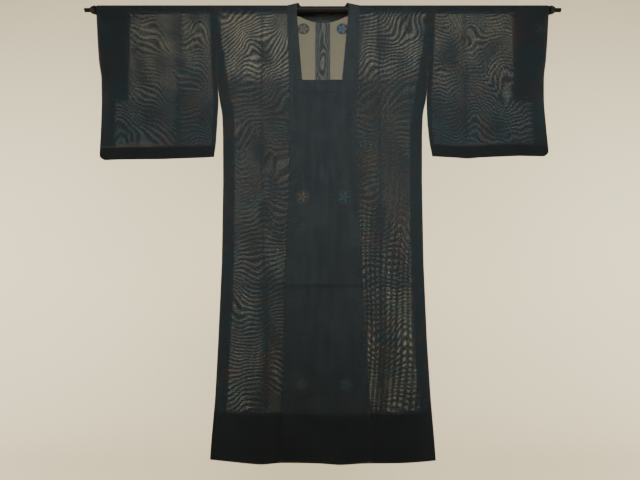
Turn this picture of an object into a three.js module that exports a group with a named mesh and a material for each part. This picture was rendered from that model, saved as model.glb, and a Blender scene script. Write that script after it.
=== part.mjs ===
import * as THREE from 'three';

// A michiyuki, the square-necked coat worn over a kimono, in sheer cloth, hanging on a rod.
// Millimetres, +Z up. The origin is on the rod's axis, in the middle of the coat, and the front
// faces -Y. Right and left are the wearer's, so the right half lies at -X. Heights down the
// hanging cloth are drops below the rod's axis.

const FRONT = -1;
const BACK = 1;
const RIGHT = { name: 'right', sign: -1 };
const LEFT = { name: 'left', sign: 1 };

// The rod: a tube, a turned collar at each end, and the thinner rod that the collar screws on to.
const ROD_RADIUS = 11;
const ROD_HALF = 672;
const END_ROD_RADIUS = 6;
const END_ROD_TIP = 706;
const ROD_SIDES = 32;

// The collar's ribs get smaller outwards. Their starts and ends are distances along the collar.
const COLLAR_LENGTH = 14;
const COLLAR_RIBS = [
  { start: 1.4, end: 4.6, radius: 13 },
  { start: 6, end: 8.8, radius: 12.2 },
  { start: 10.2, end: 12.8, radius: 10.4 },
];
const COLLAR_GROOVE = 0.8;
const RIB_CHAMFER = 0.5;

// The cloth, as walls.
const PLY = 1;
const DOUBLED = 1.6;
const SEAM_GAP = 0.3;
const LAYER_STEP = PLY + SEAM_GAP;
const SHOULDER_RADIUS = ROD_RADIUS + SEAM_GAP + PLY / 2 + LAYER_STEP;
const SEAM_DEPTH = (PLY + SEAM_GAP) / 2;
const TURNED_SEAM_DEPTH = SEAM_DEPTH + LAYER_STEP;

// Turned-up edges fold round a small radius, and the turning lies inside.
const FOLD_MIDDLE = LAYER_STEP / 2;
const FOLD_OUTER = FOLD_MIDDLE + PLY / 2;
const FOLD_ANGLES = [45, 90, 135, 180];
const HEM_TURNING = 125;
const SLEEVE_TURNING = 35;
const TURNING_SHARES = [0.5, 1];

// Rows of cloth: over the rod by angle, then at these drops, then shared out down to the edge.
const ROD_ANGLES = [67.5, 45, 22.5, 0, -22.5, -45, -67.5];
const LEVEL_ROWS = [0, 30, 70, 120, 175, 232, 280, 322];
const BODY_FREE_FROM = 400;
const BODY_SHARES = [0.13, 0.26, 0.39, 0.52, 0.65, 0.78, 0.86, 0.9, 1];
const SLEEVE_FREE_FROM = 322;
const SLEEVE_SHARES = [0.4, 0.76, 0.87, 0.94, 1];
const BAND_SHARES = [0, 0.06, 0.13, 0.25, 0.37, 0.49, 0.61, 0.73, 0.85, 0.93, 1];

// Columns of cloth: 0 to 1 is the inner part of a panel, and 1 to 2 the part beside its edge.
const BODY_COLUMNS = [0, 0.25, 0.5, 0.75, 1, 1.25, 1.5, 1.75, 2];
const SLEEVE_COLUMNS = [0, 0.2, 0.42, 0.62, 0.82, 1, 1.33, 1.67, 2];
const FACING_SETBACK = 0.03;
const FACING_COLUMNS = [1, 1.33, 1.67, 2 - FACING_SETBACK];
const SHARED_BAND_COLUMNS = [0, 0.25, 0.5, 0.75, 1];
const FREE_STRIP_SHARES = [0, 0.35, 0.7];
const NARROW_SHARES = [0, 0.5, 1];

// Half widths at each drop: the side of the body, and the line that separates the storage fold.
const BODY_SIDE = [
  { drop: 0, right: 319.6, left: 318.3 },
  { drop: 112, right: 313.5, left: 312 },
  { drop: 232, right: 305.7, left: 303.8 },
  { drop: 282, right: 298, left: 297.6 },
  { drop: 322, right: 289.5, left: 288 },
  { drop: 380, right: 285.6, left: 284 },
  { drop: 523, right: 281, left: 279.6 },
  { drop: 750, right: 278.3, left: 277.1 },
  { drop: 962, right: 281.9, left: 279.9 },
  { drop: 1116, right: 285.9, left: 285.3 },
  { drop: 1216, right: 292.1, left: 290.9 },
  { drop: 1270, right: 294.4, left: 293.5 },
];
const BODY_CREASE = [
  { drop: 0, right: 178, left: 163 },
  { drop: 523, right: 171, left: 161 },
  { drop: 987, right: 151, left: 157 },
  { drop: 1270, right: 150, left: 156 },
];

// The seam between each front and its band, which runs on up beside the neck.
const FRONT_SEAM = [
  { drop: 0, right: 104.9, left: 108.8 },
  { drop: 226, right: 96.3, left: 98.4 },
  { drop: 287, right: 95.2, left: 96 },
  { drop: 522, right: 93.1, left: 92 },
  { drop: 801, right: 104.2, left: 107 },
  { drop: 1140, right: 107.3, left: 122 },
  { drop: 1285, right: 109, left: 124 },
];
const OVER_EDGE_INSET = 2;
const OVER_SEAM_LAP = 2;
const UNDER_EDGE_INSET = 8;
const BAND_GAP = 0.5;
const OVER_LIFT = DOUBLED + BAND_GAP;

// The neck: open from the shoulders down to the bands, square at the bottom.
const NECK_EDGE = [
  { drop: 0, right: 76.5, left: 76 },
  { drop: 24, right: 75.5, left: 74.8 },
  { drop: 226, right: 59.2, left: 55.3 },
];
const NECK_DEPTH = 226;
const NECK_BAND_WIDTH = 37;
const BAND_TOP = NECK_DEPTH + NECK_BAND_WIDTH + SEAM_GAP;
const NECK_SIDE_ROWS = [190, 150, 105, 60, 25, 0];
const OVER_RAMP_TOP = 105;
const OVER_RAMP_BOTTOM = 190;

// Over the rod the band's free edge stands up in a small peak, and behind it stands as a collar.
const NECK_CROSSING = [
  { angle: 67.5, edge: 75.5, rise: 2 },
  { angle: 45, edge: 74, rise: 4.5 },
  { angle: 22.5, edge: 72.5, rise: 7.5 },
  { angle: 0, edge: 71, rise: 9 },
];
const NECK_SEAM_EASE = 8;
const NECK_SEAM_HALF = 97;
const NECK_SEAM_DROP = 17;
const COLLAR_BACK = [
  { seamAngle: -22.5, edge: 69, y: 4.5, z: 21.5 },
  { seamAngle: -45, edge: 66.5, y: 8, z: 20 },
  { seamAngle: -67.5, edge: 63.5, y: 11, z: 17.5 },
  { seamAngle: -90, edge: 59, y: 13, z: 14.5 },
];
const COLLAR_STAND = [
  { seamTurn: 25, edge: 54, y: 14, z: 12.5 },
  { seamTurn: 50, edge: 43, y: 14.6, z: 10.5 },
  { seamTurn: 70, edge: 25, y: 14.9, z: 10 },
];
const COLLAR_CENTRE = { seamTurn: 90, edge: 0, y: 15, z: 10 };

// Rows of the back start on the neck seam (seamTurn, degrees round it), then on the centre seam.
const BACK_NECK_ROWS = [
  { drop: 30, seamTurn: 25 },
  { drop: 70, seamTurn: 50 },
  { drop: 120, seamTurn: 70 },
  { drop: 175, seamTurn: 90 },
];
const BACK_CENTRE_ROWS = [
  { drop: 232, seamDrop: 95 },
  { drop: 280, seamDrop: 185 },
  { drop: 322, seamDrop: 285 },
];

// The crescent that lines the back neck, inside.
const LINING_HALF = 74;
const LINING_DROP = 33;
const LINING_CORNER_DROP = 9;
const LINING_ROWS = 12;

// The hem hangs in slight points. Here x is signed.
const HEM = [
  { x: -294, drop: 1267 },
  { x: -212, drop: 1272 },
  { x: -161, drop: 1276 },
  { x: -110, drop: 1272.5 },
  { x: -7, drop: 1274 },
  { x: 45, drop: 1277 },
  { x: 96, drop: 1274 },
  { x: 199, drop: 1273.7 },
  { x: 294, drop: 1269 },
];

// Sleeves, as distances from the middle of the coat.
const SLEEVE_INNER = [
  { drop: 0, right: 319.6, left: 318.3 },
  { drop: 112, right: 313.5, left: 312 },
  { drop: 232, right: 305.7, left: 303.8 },
  { drop: 282, right: 300.8, left: 299.6 },
  { drop: 348, right: 302.7, left: 300 },
  { drop: 408, right: 304.3, left: 304 },
  { drop: 452, right: 308.9, left: 311.5 },
];
const SLEEVE_FOLD = [
  { drop: 0, right: 418, left: 414 },
  { drop: 452, right: 412, left: 409 },
];
const SLEEVE_OUTER = [
  { drop: 0, right: 667, left: 666.3 },
  { drop: 42, right: 663, left: 661.5 },
  { drop: 105, right: 656.5, left: 655 },
  { drop: 167, right: 650, left: 648 },
  { drop: 212, right: 641, left: 640.3 },
  { drop: 290, right: 637, left: 637.7 },
  { drop: 378, right: 634.6, left: 640 },
  { drop: 452, right: 633.5, left: 642 },
];
const SLEEVE_BOTTOM = [
  { x: -619, drop: 460.5 },
  { x: -568, drop: 458.7 },
  { x: -456, drop: 457.5 },
  { x: -344, drop: 453.3 },
  { x: -309, drop: 451.3 },
  { x: 312, drop: 449.3 },
  { x: 387, drop: 453.8 },
  { x: 409, drop: 456.4 },
  { x: 443, drop: 452.8 },
  { x: 556, drop: 447.8 },
  { x: 626, drop: 449.5 },
];
const SLEEVE_CORNER = 17;

// The facing inside each sleeve's opening, and its inner edge.
const FACING_EDGE = [
  { drop: 0, right: 574.5, left: 567.6 },
  { drop: 290, right: 562.5, left: 552.8 },
];
const FACING_BOTTOM = 286;

// How far the cloth hangs from the rod's middle plane.
const BODY_DEPTH = [
  { drop: 0, middle: SHOULDER_RADIUS, side: SHOULDER_RADIUS },
  { drop: 112, middle: 12.8, side: 10.5 },
  { drop: 232, middle: 12.2, side: 5 },
  { drop: 322, middle: 11.8, side: SEAM_DEPTH },
  { drop: 700, middle: 11, side: SEAM_DEPTH },
  { drop: 1100, middle: 10.4, side: SEAM_DEPTH },
  { drop: 1146, middle: 10.4, side: TURNED_SEAM_DEPTH },
  { drop: 1285, middle: 10.4, side: TURNED_SEAM_DEPTH },
];
const BODY_ROUNDING = 110;
const SLEEVE_DEPTH = [
  { drop: 0, middle: SHOULDER_RADIUS, inner: SHOULDER_RADIUS, outer: SHOULDER_RADIUS },
  { drop: 112, middle: 12, inner: 10.5, outer: 11 },
  { drop: 232, middle: 9.6, inner: 5, outer: 5 },
  { drop: 286, middle: 8.2, inner: 4.2, outer: TURNED_SEAM_DEPTH },
  { drop: 322, middle: 7, inner: 3.6, outer: SEAM_DEPTH },
  { drop: 392, middle: 4.4, inner: 2.6, outer: SEAM_DEPTH },
  { drop: 418, middle: 3.4, inner: 2.3, outer: TURNED_SEAM_DEPTH },
  { drop: 462, middle: TURNED_SEAM_DEPTH, inner: TURNED_SEAM_DEPTH, outer: TURNED_SEAM_DEPTH },
];
const SLEEVE_ROUNDING = 70;

// Soft waves that grow towards the hem, and ridges where the coat was folded away.
const HEM_WAVE = 2.2;
const WAVE_LENGTH = 230;
const WAVE_PHASE = { front: 0.4, back: 2.1 };
const WAVE_TOP = 300;
const WAVE_BOTTOM = 1270;
const WAVE_EDGE = 80;
const CREASE_RISE = 1.6;
const CREASE_REACH = 40;

const COLOURS = {
  cloth: 0x2b3032,
  band: 0x2a2f33,
  facing: 0x222629,
  rod: 0x141414,
  collar: 0x1c1a18,
};

const CLOTH_LOOK = { roughness: 0.85, metalness: 0 };
const ROD_LOOK = { roughness: 0.45, metalness: 0.1 };

function lerp(a, b, share) {
  return a + (b - a) * share;
}

function ramp(value, from, to) {
  return Math.min(1, Math.max(0, (value - from) / (to - from)));
}

function radians(degrees) {
  return degrees * Math.PI / 180;
}

// A named column of a table, read between its rows by the given key.
function read(table, key, column, value) {
  if (value <= table[0][key]) {
    return table[0][column];
  }
  for (let i = 1; i < table.length; i += 1) {
    const [above, below] = [table[i - 1], table[i]];
    if (value <= below[key]) {
      return lerp(above[column], below[column], ramp(value, above[key], below[key]));
    }
  }
  return table[table.length - 1][column];
}

function halfAt(table, half, drop) {
  return read(table, 'drop', half.name, drop);
}

function hemDrop(x) {
  return read(HEM, 'x', 'drop', x);
}

function sleeveBottom(x) {
  return read(SLEEVE_BOTTOM, 'x', 'drop', x);
}

// How much a parabola takes off near an edge: all of it at the edge, nothing past the reach.
function roundedOff(distance, reach) {
  return (1 - ramp(distance, 0, reach)) ** 2;
}

function creaseRise(x, crease) {
  return CREASE_RISE * (1 - ramp(Math.abs(x - crease), 0, CREASE_REACH));
}

function bodyDepth(x, drop, side) {
  const half = x < 0 ? RIGHT : LEFT;
  const middle = read(BODY_DEPTH, 'drop', 'middle', drop);
  const edge = read(BODY_DEPTH, 'drop', 'side', drop);
  const inside = halfAt(BODY_SIDE, half, drop) - Math.abs(x);
  const phase = side === FRONT ? WAVE_PHASE.front : WAVE_PHASE.back;
  const sway = HEM_WAVE * ramp(drop, WAVE_TOP, WAVE_BOTTOM) * ramp(inside, 0, WAVE_EDGE);
  const wave = sway * Math.sin(2 * Math.PI * x / WAVE_LENGTH + phase);
  const crease = halfAt(BODY_CREASE, half, drop);
  const ridge = creaseRise(Math.abs(x), crease) * ramp(drop, 0, WAVE_TOP);
  return middle - (middle - edge) * roundedOff(inside, BODY_ROUNDING) + wave + ridge;
}

function sleeveDepth(x, drop) {
  const half = x < 0 ? RIGHT : LEFT;
  const middle = read(SLEEVE_DEPTH, 'drop', 'middle', drop);
  const inner = read(SLEEVE_DEPTH, 'drop', 'inner', drop);
  const outer = read(SLEEVE_DEPTH, 'drop', 'outer', drop);
  const fromInner = Math.abs(x) - halfAt(SLEEVE_INNER, half, drop);
  const fromOuter = halfAt(SLEEVE_OUTER, half, drop) - Math.abs(x);
  const innerLoss = (middle - inner) * roundedOff(fromInner, SLEEVE_ROUNDING);
  const outerLoss = (middle - outer) * roundedOff(fromOuter, SLEEVE_ROUNDING);
  const fold = halfAt(SLEEVE_FOLD, half, drop);
  const free = ramp(drop, 0, LEVEL_ROWS[3]) * ramp(sleeveBottom(x) - drop, 0, SLEEVE_TURNING);
  return middle - innerLoss - outerLoss + creaseRise(Math.abs(x), fold) * free;
}

// A point of cloth that hangs below the rod, lifted off its panel towards the outside.
function hang(depth, side, x, drop, lift) {
  return new THREE.Vector3(x, side * (depth(x, drop, side) + lift), -drop);
}

// A point of cloth that bends over the rod, at an angle from the top towards the front.
function bend(x, angle, lift) {
  const radius = SHOULDER_RADIUS + lift;
  return new THREE.Vector3(x, -radius * Math.sin(radians(angle)), radius * Math.cos(radians(angle)));
}

// A closed wall of even thickness about a grid of points on its middle surface.
function wall(grid, thickness) {
  const rows = grid.length;
  const columns = grid[0].length;
  const positions = [];
  const across = new THREE.Vector3();
  const along = new THREE.Vector3();
  const normal = new THREE.Vector3();
  for (const side of [0.5, -0.5]) {
    for (let j = 0; j < rows; j += 1) {
      for (let i = 0; i < columns; i += 1) {
        across.subVectors(grid[j][Math.min(i + 1, columns - 1)], grid[j][Math.max(i - 1, 0)]);
        along.subVectors(grid[Math.min(j + 1, rows - 1)][i], grid[Math.max(j - 1, 0)][i]);
        normal.crossVectors(across, along).normalize();
        const point = grid[j][i].clone().addScaledVector(normal, side * thickness);
        positions.push(point.x, point.y, point.z);
      }
    }
  }
  const index = [];
  const quad = (a, b, c, d) => index.push(a, b, c, a, c, d);
  const inner = rows * columns;
  const at = (j, i) => j * columns + i;
  for (let j = 0; j + 1 < rows; j += 1) {
    for (let i = 0; i + 1 < columns; i += 1) {
      quad(at(j, i), at(j, i + 1), at(j + 1, i + 1), at(j + 1, i));
      quad(inner + at(j, i), inner + at(j + 1, i), inner + at(j + 1, i + 1), inner + at(j, i + 1));
    }
  }
  const edge = (a, b) => quad(b, a, inner + a, inner + b);
  for (let i = 0; i + 1 < columns; i += 1) {
    edge(at(0, i), at(0, i + 1));
    edge(at(rows - 1, i + 1), at(rows - 1, i));
  }
  for (let j = 0; j + 1 < rows; j += 1) {
    edge(at(j + 1, 0), at(j, 0));
    edge(at(j, columns - 1), at(j + 1, columns - 1));
  }
  const geometry = new THREE.BufferGeometry();
  geometry.setAttribute('position', new THREE.Float32BufferAttribute(positions, 3));
  geometry.setIndex(index);
  geometry.computeVertexNormals();
  return geometry;
}

function gridOf(rows, columns) {
  return rows.map((row) => columns.map(row));
}

// The rows of one hanging side: down to the turned edge, round its fold and up inside.
// place(u, dropOf, lift) puts a point of the panel, and dropOf(x) is the row's drop there.
function freeRows({ place, from, shares, bottom, turning }) {
  const foldTop = (x) => bottom(x) - FOLD_OUTER;
  const down = shares.map((share) => (u) => place(u, (x) => lerp(from, foldTop(x), share), 0));
  const fold = FOLD_ANGLES.map((angle) => (u) => place(
    u,
    (x) => foldTop(x) + FOLD_MIDDLE * Math.sin(radians(angle)),
    -FOLD_MIDDLE * (1 - Math.cos(radians(angle))),
  ));
  const reach = turning - FOLD_OUTER;
  const inside = TURNING_SHARES.map((share) => (u) => place(
    u,
    (x) => foldTop(x) - reach * share,
    -LAYER_STEP,
  ));
  return [...down, ...fold, ...inside];
}

function bodySideEdge(half, drop) {
  return halfAt(BODY_SIDE, half, drop) - SEAM_GAP / 2;
}

// Columns 0 to 1 reach from the inner edge to the storage crease, and 1 to 2 on to the side.
function bodyX(half, innerEdge, drop, u) {
  const crease = halfAt(BODY_CREASE, half, drop);
  const side = bodySideEdge(half, drop);
  const reach = u < 1 ? lerp(innerEdge, crease, u) : lerp(crease, side, u - 1);
  return half.sign * reach;
}

// Half width of the neck seam where it crosses the rod, at an angle towards the front.
function shoulderSeam(half, angle) {
  return halfAt(FRONT_SEAM, half, 0) + SEAM_GAP - NECK_SEAM_EASE * ramp(-angle, 0, 90);
}

// The neck seam behind the rod is half an ellipse: its half width and drop, by degrees of turn.
function neckSeam(half, turn) {
  return {
    x: shoulderSeam(half, -90) * Math.cos(radians(turn)),
    drop: NECK_SEAM_DROP * Math.sin(radians(turn)),
  };
}

// Each half is one length of cloth, from the front hem over the shoulder to the back hem.
function bodyHalf(half) {
  const front = (u, dropOf, lift) => {
    const nominal = dropOf(half.sign * NECK_SEAM_HALF);
    const guess = bodyX(half, halfAt(FRONT_SEAM, half, nominal) + SEAM_GAP, nominal, u);
    const drop = dropOf(guess);
    const x = bodyX(half, halfAt(FRONT_SEAM, half, drop) + SEAM_GAP, drop, u);
    return hang(bodyDepth, FRONT, x, drop, lift);
  };
  const back = (u, dropOf, lift) => {
    const drop = dropOf(bodyX(half, SEAM_GAP / 2, dropOf(0), u));
    return hang(bodyDepth, BACK, bodyX(half, SEAM_GAP / 2, drop, u), drop, lift);
  };
  // A back row that starts higher at the neck or centre seam than at the side.
  const slanted = (drop, seamX, seamDrop) => (u) => {
    const here = lerp(seamDrop, drop, u / 2);
    return hang(bodyDepth, BACK, bodyX(half, seamX, here, u), here, 0);
  };
  const frontLevel = LEVEL_ROWS.map((drop) => (u) => front(u, () => drop, 0));
  const shoulderX = (angle, u) => bodyX(half, shoulderSeam(half, angle), 0, u);
  const overRod = ROD_ANGLES.map((angle) => (u) => bend(shoulderX(angle, u), angle, 0));
  const atNeck = BACK_NECK_ROWS.map((row) => {
    const seam = neckSeam(half, row.seamTurn);
    return slanted(row.drop, Math.max(seam.x, SEAM_GAP / 2), seam.drop);
  });
  const atCentre = BACK_CENTRE_ROWS.map((row) => slanted(row.drop, SEAM_GAP / 2, row.seamDrop));
  const level = (place) => (u) => place(u, () => BODY_FREE_FROM, 0);
  const free = (place) => freeRows({
    place, from: BODY_FREE_FROM, shares: BODY_SHARES, bottom: hemDrop, turning: HEM_TURNING,
  });
  const rows = [
    ...[...frontLevel, level(front), ...free(front)].reverse(),
    ...overRod,
    slanted(0, shoulderSeam(half, -90), 0),
    ...atNeck,
    ...atCentre,
    level(back),
    ...free(back),
  ];
  return wall(gridOf(rows, BODY_COLUMNS), PLY);
}

// Columns 0 to 1 reach from the body to the facing's edge, and 1 to 2 on to the sleeve's end.
function sleeveX(half, drop, bottom, u) {
  const inner = halfAt(SLEEVE_INNER, half, drop) + SEAM_GAP / 2;
  const middle = halfAt(FACING_EDGE, half, drop);
  const past = Math.min(SLEEVE_CORNER, Math.max(0, drop - (bottom - SLEEVE_CORNER)));
  const corner = SLEEVE_CORNER - Math.sqrt(SLEEVE_CORNER ** 2 - past ** 2);
  const outer = halfAt(SLEEVE_OUTER, half, drop) - corner;
  const reach = u < 1 ? lerp(inner, middle, u) : lerp(middle, outer, u - 1);
  return half.sign * reach;
}

// A point of a sleeve on one side of the rod.
function sleevePoint(half, side, u, dropOf, lift) {
  const bottom = sleeveBottom(half.sign * SLEEVE_BOTTOM[SLEEVE_BOTTOM.length - 1].x);
  const drop = dropOf(sleeveX(half, dropOf(half.sign * SLEEVE_OUTER[0].left), bottom, u));
  return hang(sleeveDepth, side, sleeveX(half, drop, bottom, u), drop, lift);
}

// Each sleeve is one length folded over the rod, sewn along the bottom.
function sleeve(half) {
  const place = (side) => (u, dropOf, lift) => sleevePoint(half, side, u, dropOf, lift);
  const hanging = (side) => [
    ...LEVEL_ROWS.map((drop) => (u) => place(side)(u, () => drop, 0)),
    ...freeRows({
      place: place(side),
      from: SLEEVE_FREE_FROM,
      shares: SLEEVE_SHARES,
      bottom: sleeveBottom,
      turning: SLEEVE_TURNING,
    }),
  ];
  const overRod = ROD_ANGLES.map((angle) => (u) => bend(sleeveX(half, 0, Infinity, u), angle, 0));
  const rows = [...hanging(FRONT).reverse(), ...overRod, ...hanging(BACK)];
  return wall(gridOf(rows, SLEEVE_COLUMNS), PLY);
}

// The facing lies inside the sleeve's opening, front and back and over the rod.
function sleeveFacing(half) {
  const drops = [...LEVEL_ROWS.filter((drop) => drop < FACING_BOTTOM), FACING_BOTTOM];
  const hanging = (side) => drops.map((drop) => (u) => sleevePoint(half, side, u, () => drop, -LAYER_STEP));
  const overRod = ROD_ANGLES.map((angle) => (u) => bend(sleeveX(half, 0, Infinity, u), angle, -LAYER_STEP));
  const rows = [...hanging(FRONT).reverse(), ...overRod, ...hanging(BACK)];
  return wall(gridOf(rows, FACING_COLUMNS), PLY);
}

// Both front bands share the columns where they lie on each other.
function sharedBandColumns(drop) {
  const from = -halfAt(FRONT_SEAM, RIGHT, drop) + OVER_EDGE_INSET;
  const to = halfAt(FRONT_SEAM, LEFT, drop) - UNDER_EDGE_INSET;
  return SHARED_BAND_COLUMNS.map((share) => lerp(from, to, share));
}

function underBandColumns(drop) {
  return [-halfAt(FRONT_SEAM, RIGHT, drop), ...sharedBandColumns(drop)];
}

function overBandColumns(drop) {
  return [...sharedBandColumns(drop), halfAt(FRONT_SEAM, LEFT, drop) + OVER_SEAM_LAP];
}

// A doubled front band, from the neck's bottom corner pieces to the hem.
function frontBand(columnsAt, lift) {
  const grid = BAND_SHARES.map((share) => {
    const dropOf = (x) => lerp(BAND_TOP, hemDrop(x), share);
    return columnsAt(dropOf(0)).map((x) => hang(bodyDepth, FRONT, x, dropOf(x), lift));
  });
  return wall(grid, DOUBLED);
}

// The free strip of the neck band along the top of one front band, and its mitred corner.
function neckStrip(half, freeX, lift) {
  const top = NECK_DEPTH;
  const bottom = NECK_DEPTH + NECK_BAND_WIDTH;
  const cornerX = half.sign * halfAt(NECK_EDGE, half, top);
  const rows = FREE_STRIP_SHARES.map((share) => {
    const x = lerp(freeX, cornerX, share);
    return [[x, top], [x, bottom]];
  });
  rows.push([[cornerX, top], [half.sign * halfAt(FRONT_SEAM, half, bottom), bottom]]);
  return rows.map((row) => row.map(([x, drop]) => hang(bodyDepth, FRONT, x, drop, lift)));
}

// The neck band from its free strip up one side of the neck, over the rod and round to the back.
function neckBandHalf(half, freeX, stripLift) {
  const rows = neckStrip(half, freeX, stripLift);
  for (const drop of NECK_SIDE_ROWS) {
    const lift = stripLift * ramp(drop, OVER_RAMP_TOP, OVER_RAMP_BOTTOM);
    const edges = [halfAt(NECK_EDGE, half, drop), halfAt(FRONT_SEAM, half, drop)];
    rows.push(edges.map((x) => hang(bodyDepth, FRONT, half.sign * x, drop, lift)));
  }
  const seamOver = (angle) => bend(half.sign * (shoulderSeam(half, angle) - SEAM_GAP), angle, 0);
  for (const row of NECK_CROSSING) {
    rows.push([bend(half.sign * row.edge, row.angle, row.rise), seamOver(row.angle)]);
  }
  const edgeOf = (row) => new THREE.Vector3(half.sign * row.edge, row.y, row.z);
  for (const row of COLLAR_BACK) {
    rows.push([edgeOf(row), seamOver(row.seamAngle)]);
  }
  for (const row of COLLAR_STAND) {
    rows.push([edgeOf(row), collarSeam(half, row.seamTurn)]);
  }
  return rows;
}

function collarSeam(half, turn) {
  const seam = neckSeam(half, turn);
  return hang(bodyDepth, BACK, half.sign * seam.x, seam.drop - SEAM_GAP, 0);
}

function neckBand() {
  const underFree = halfAt(FRONT_SEAM, LEFT, NECK_DEPTH) - UNDER_EDGE_INSET;
  const overFree = -halfAt(FRONT_SEAM, RIGHT, NECK_DEPTH) + OVER_EDGE_INSET;
  const centre = [
    new THREE.Vector3(COLLAR_CENTRE.edge, COLLAR_CENTRE.y, COLLAR_CENTRE.z),
    collarSeam(RIGHT, COLLAR_CENTRE.seamTurn),
  ];
  const rows = [
    ...neckBandHalf(RIGHT, underFree, 0),
    centre,
    ...neckBandHalf(LEFT, overFree, OVER_LIFT).reverse(),
  ];
  const grid = rows.map(([edge, seam]) => NARROW_SHARES.map((share) => edge.clone().lerp(seam, share)));
  return wall(grid, DOUBLED);
}

// The crescent inside the back neck, from the neck seam down to its curved edge.
function neckLining() {
  const grid = [];
  for (let j = 0; j <= LINING_ROWS; j += 1) {
    const x = lerp(-LINING_HALF, LINING_HALF, j / LINING_ROWS);
    const half = x < 0 ? RIGHT : LEFT;
    const seamHalf = shoulderSeam(half, -90);
    const top = NECK_SEAM_DROP * Math.sqrt(1 - (x / seamHalf) ** 2);
    const width = (LINING_DROP - LINING_CORNER_DROP) * (1 - (x / LINING_HALF) ** 2);
    const bottom = Math.max(LINING_CORNER_DROP + width, top + LAYER_STEP);
    grid.push(NARROW_SHARES.map((share) => hang(bodyDepth, BACK, x, lerp(top, bottom, share), -LAYER_STEP)));
  }
  return wall(grid, PLY);
}

// Round bars along X, from a profile of distances along the rod and radii.
function turned(profile, sign) {
  const points = profile.map(([along, radius]) => new THREE.Vector2(radius, along));
  const geometry = new THREE.LatheGeometry(points, ROD_SIDES);
  geometry.rotateZ(-sign * Math.PI / 2);
  return geometry;
}

function rodTube() {
  return turned([[-ROD_HALF, 0], [-ROD_HALF, ROD_RADIUS], [ROD_HALF, ROD_RADIUS], [ROD_HALF, 0]], 1);
}

function rodCollar(half) {
  const start = ROD_HALF + SEAM_GAP;
  const groove = (rib) => rib.radius - COLLAR_GROOVE;
  const last = COLLAR_RIBS[COLLAR_RIBS.length - 1];
  const profile = [[0, 0], [0, groove(COLLAR_RIBS[0])]];
  for (const rib of COLLAR_RIBS) {
    profile.push([rib.start, groove(rib)], [rib.start + RIB_CHAMFER, rib.radius]);
    profile.push([rib.end - RIB_CHAMFER, rib.radius], [rib.end, groove(rib)]);
  }
  profile.push([COLLAR_LENGTH, groove(last)], [COLLAR_LENGTH, 0]);
  return turned(profile.map(([along, radius]) => [start + along, radius]), half.sign);
}

function endRod(half) {
  const start = ROD_HALF + COLLAR_LENGTH + 2 * SEAM_GAP;
  const profile = [[start, 0], [start, END_ROD_RADIUS], [END_ROD_TIP, END_ROD_RADIUS], [END_ROD_TIP, 0]];
  return turned(profile, half.sign);
}

function addPiece(group, name, geometry, color, look) {
  const mesh = new THREE.Mesh(geometry, new THREE.MeshStandardMaterial({ color, ...look }));
  mesh.name = name;
  group.add(mesh);
}

function coat() {
  const group = new THREE.Group();
  for (const half of [RIGHT, LEFT]) {
    addPiece(group, `body_${half.name}`, bodyHalf(half), COLOURS.cloth, CLOTH_LOOK);
    addPiece(group, `sleeve_${half.name}`, sleeve(half), COLOURS.cloth, CLOTH_LOOK);
    addPiece(group, `sleeve_facing_${half.name}`, sleeveFacing(half), COLOURS.facing, CLOTH_LOOK);
  }
  addPiece(group, 'front_band_under', frontBand(underBandColumns, 0), COLOURS.band, CLOTH_LOOK);
  addPiece(group, 'front_band_over', frontBand(overBandColumns, OVER_LIFT), COLOURS.band, CLOTH_LOOK);
  addPiece(group, 'neck_band', neckBand(), COLOURS.band, CLOTH_LOOK);
  addPiece(group, 'neck_lining', neckLining(), COLOURS.facing, CLOTH_LOOK);
  return group;
}

function rod() {
  const group = new THREE.Group();
  addPiece(group, 'rod_tube', rodTube(), COLOURS.rod, ROD_LOOK);
  for (const half of [RIGHT, LEFT]) {
    addPiece(group, `rod_collar_${half.name}`, rodCollar(half), COLOURS.collar, ROD_LOOK);
    addPiece(group, `rod_end_${half.name}`, endRod(half), COLOURS.rod, ROD_LOOK);
  }
  return group;
}

const model = new THREE.Group();
model.add(coat(), rod());

export default model;
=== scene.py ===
"""A michiyuki, the square-necked coat worn over a kimono, in sheer gauze, hanging on a rod.

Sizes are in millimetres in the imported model's frame: +Z up, the front faces -Y, and drops are
counted down from the rod's axis. They become metres when a mesh is made.
"""

import logging
import math
from collections.abc import Callable, Sequence
from dataclasses import dataclass, field
from enum import Enum, IntEnum

import bpy
import numpy as np
from mathutils import Euler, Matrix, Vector

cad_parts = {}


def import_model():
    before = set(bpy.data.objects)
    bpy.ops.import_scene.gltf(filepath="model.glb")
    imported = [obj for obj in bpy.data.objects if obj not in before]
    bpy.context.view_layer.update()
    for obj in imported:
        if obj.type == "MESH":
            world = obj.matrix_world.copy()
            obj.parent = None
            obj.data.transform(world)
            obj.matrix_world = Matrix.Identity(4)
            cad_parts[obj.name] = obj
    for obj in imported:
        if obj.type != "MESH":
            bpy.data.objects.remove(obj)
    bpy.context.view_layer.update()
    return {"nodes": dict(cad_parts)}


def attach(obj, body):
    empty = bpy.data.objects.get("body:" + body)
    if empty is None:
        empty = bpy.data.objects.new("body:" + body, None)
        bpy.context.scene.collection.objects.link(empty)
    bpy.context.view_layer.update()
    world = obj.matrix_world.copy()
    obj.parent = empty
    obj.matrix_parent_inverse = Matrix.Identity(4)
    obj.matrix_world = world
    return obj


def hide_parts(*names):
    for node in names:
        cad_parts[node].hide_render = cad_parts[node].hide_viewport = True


log = logging.getLogger("michiyuki")

MM = 0.001
BODY = "root"
Array = np.ndarray
Socket = bpy.types.NodeSocket
Node = bpy.types.Node
Tree = bpy.types.NodeTree
Material = bpy.types.Material
Piece = bpy.types.Object
Point = tuple[float, float, float]
Span = tuple[float, float]


class Half(IntEnum):
    """A half of the coat, the wearer's, with the sign of its X."""

    RIGHT = -1
    LEFT = 1


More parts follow.
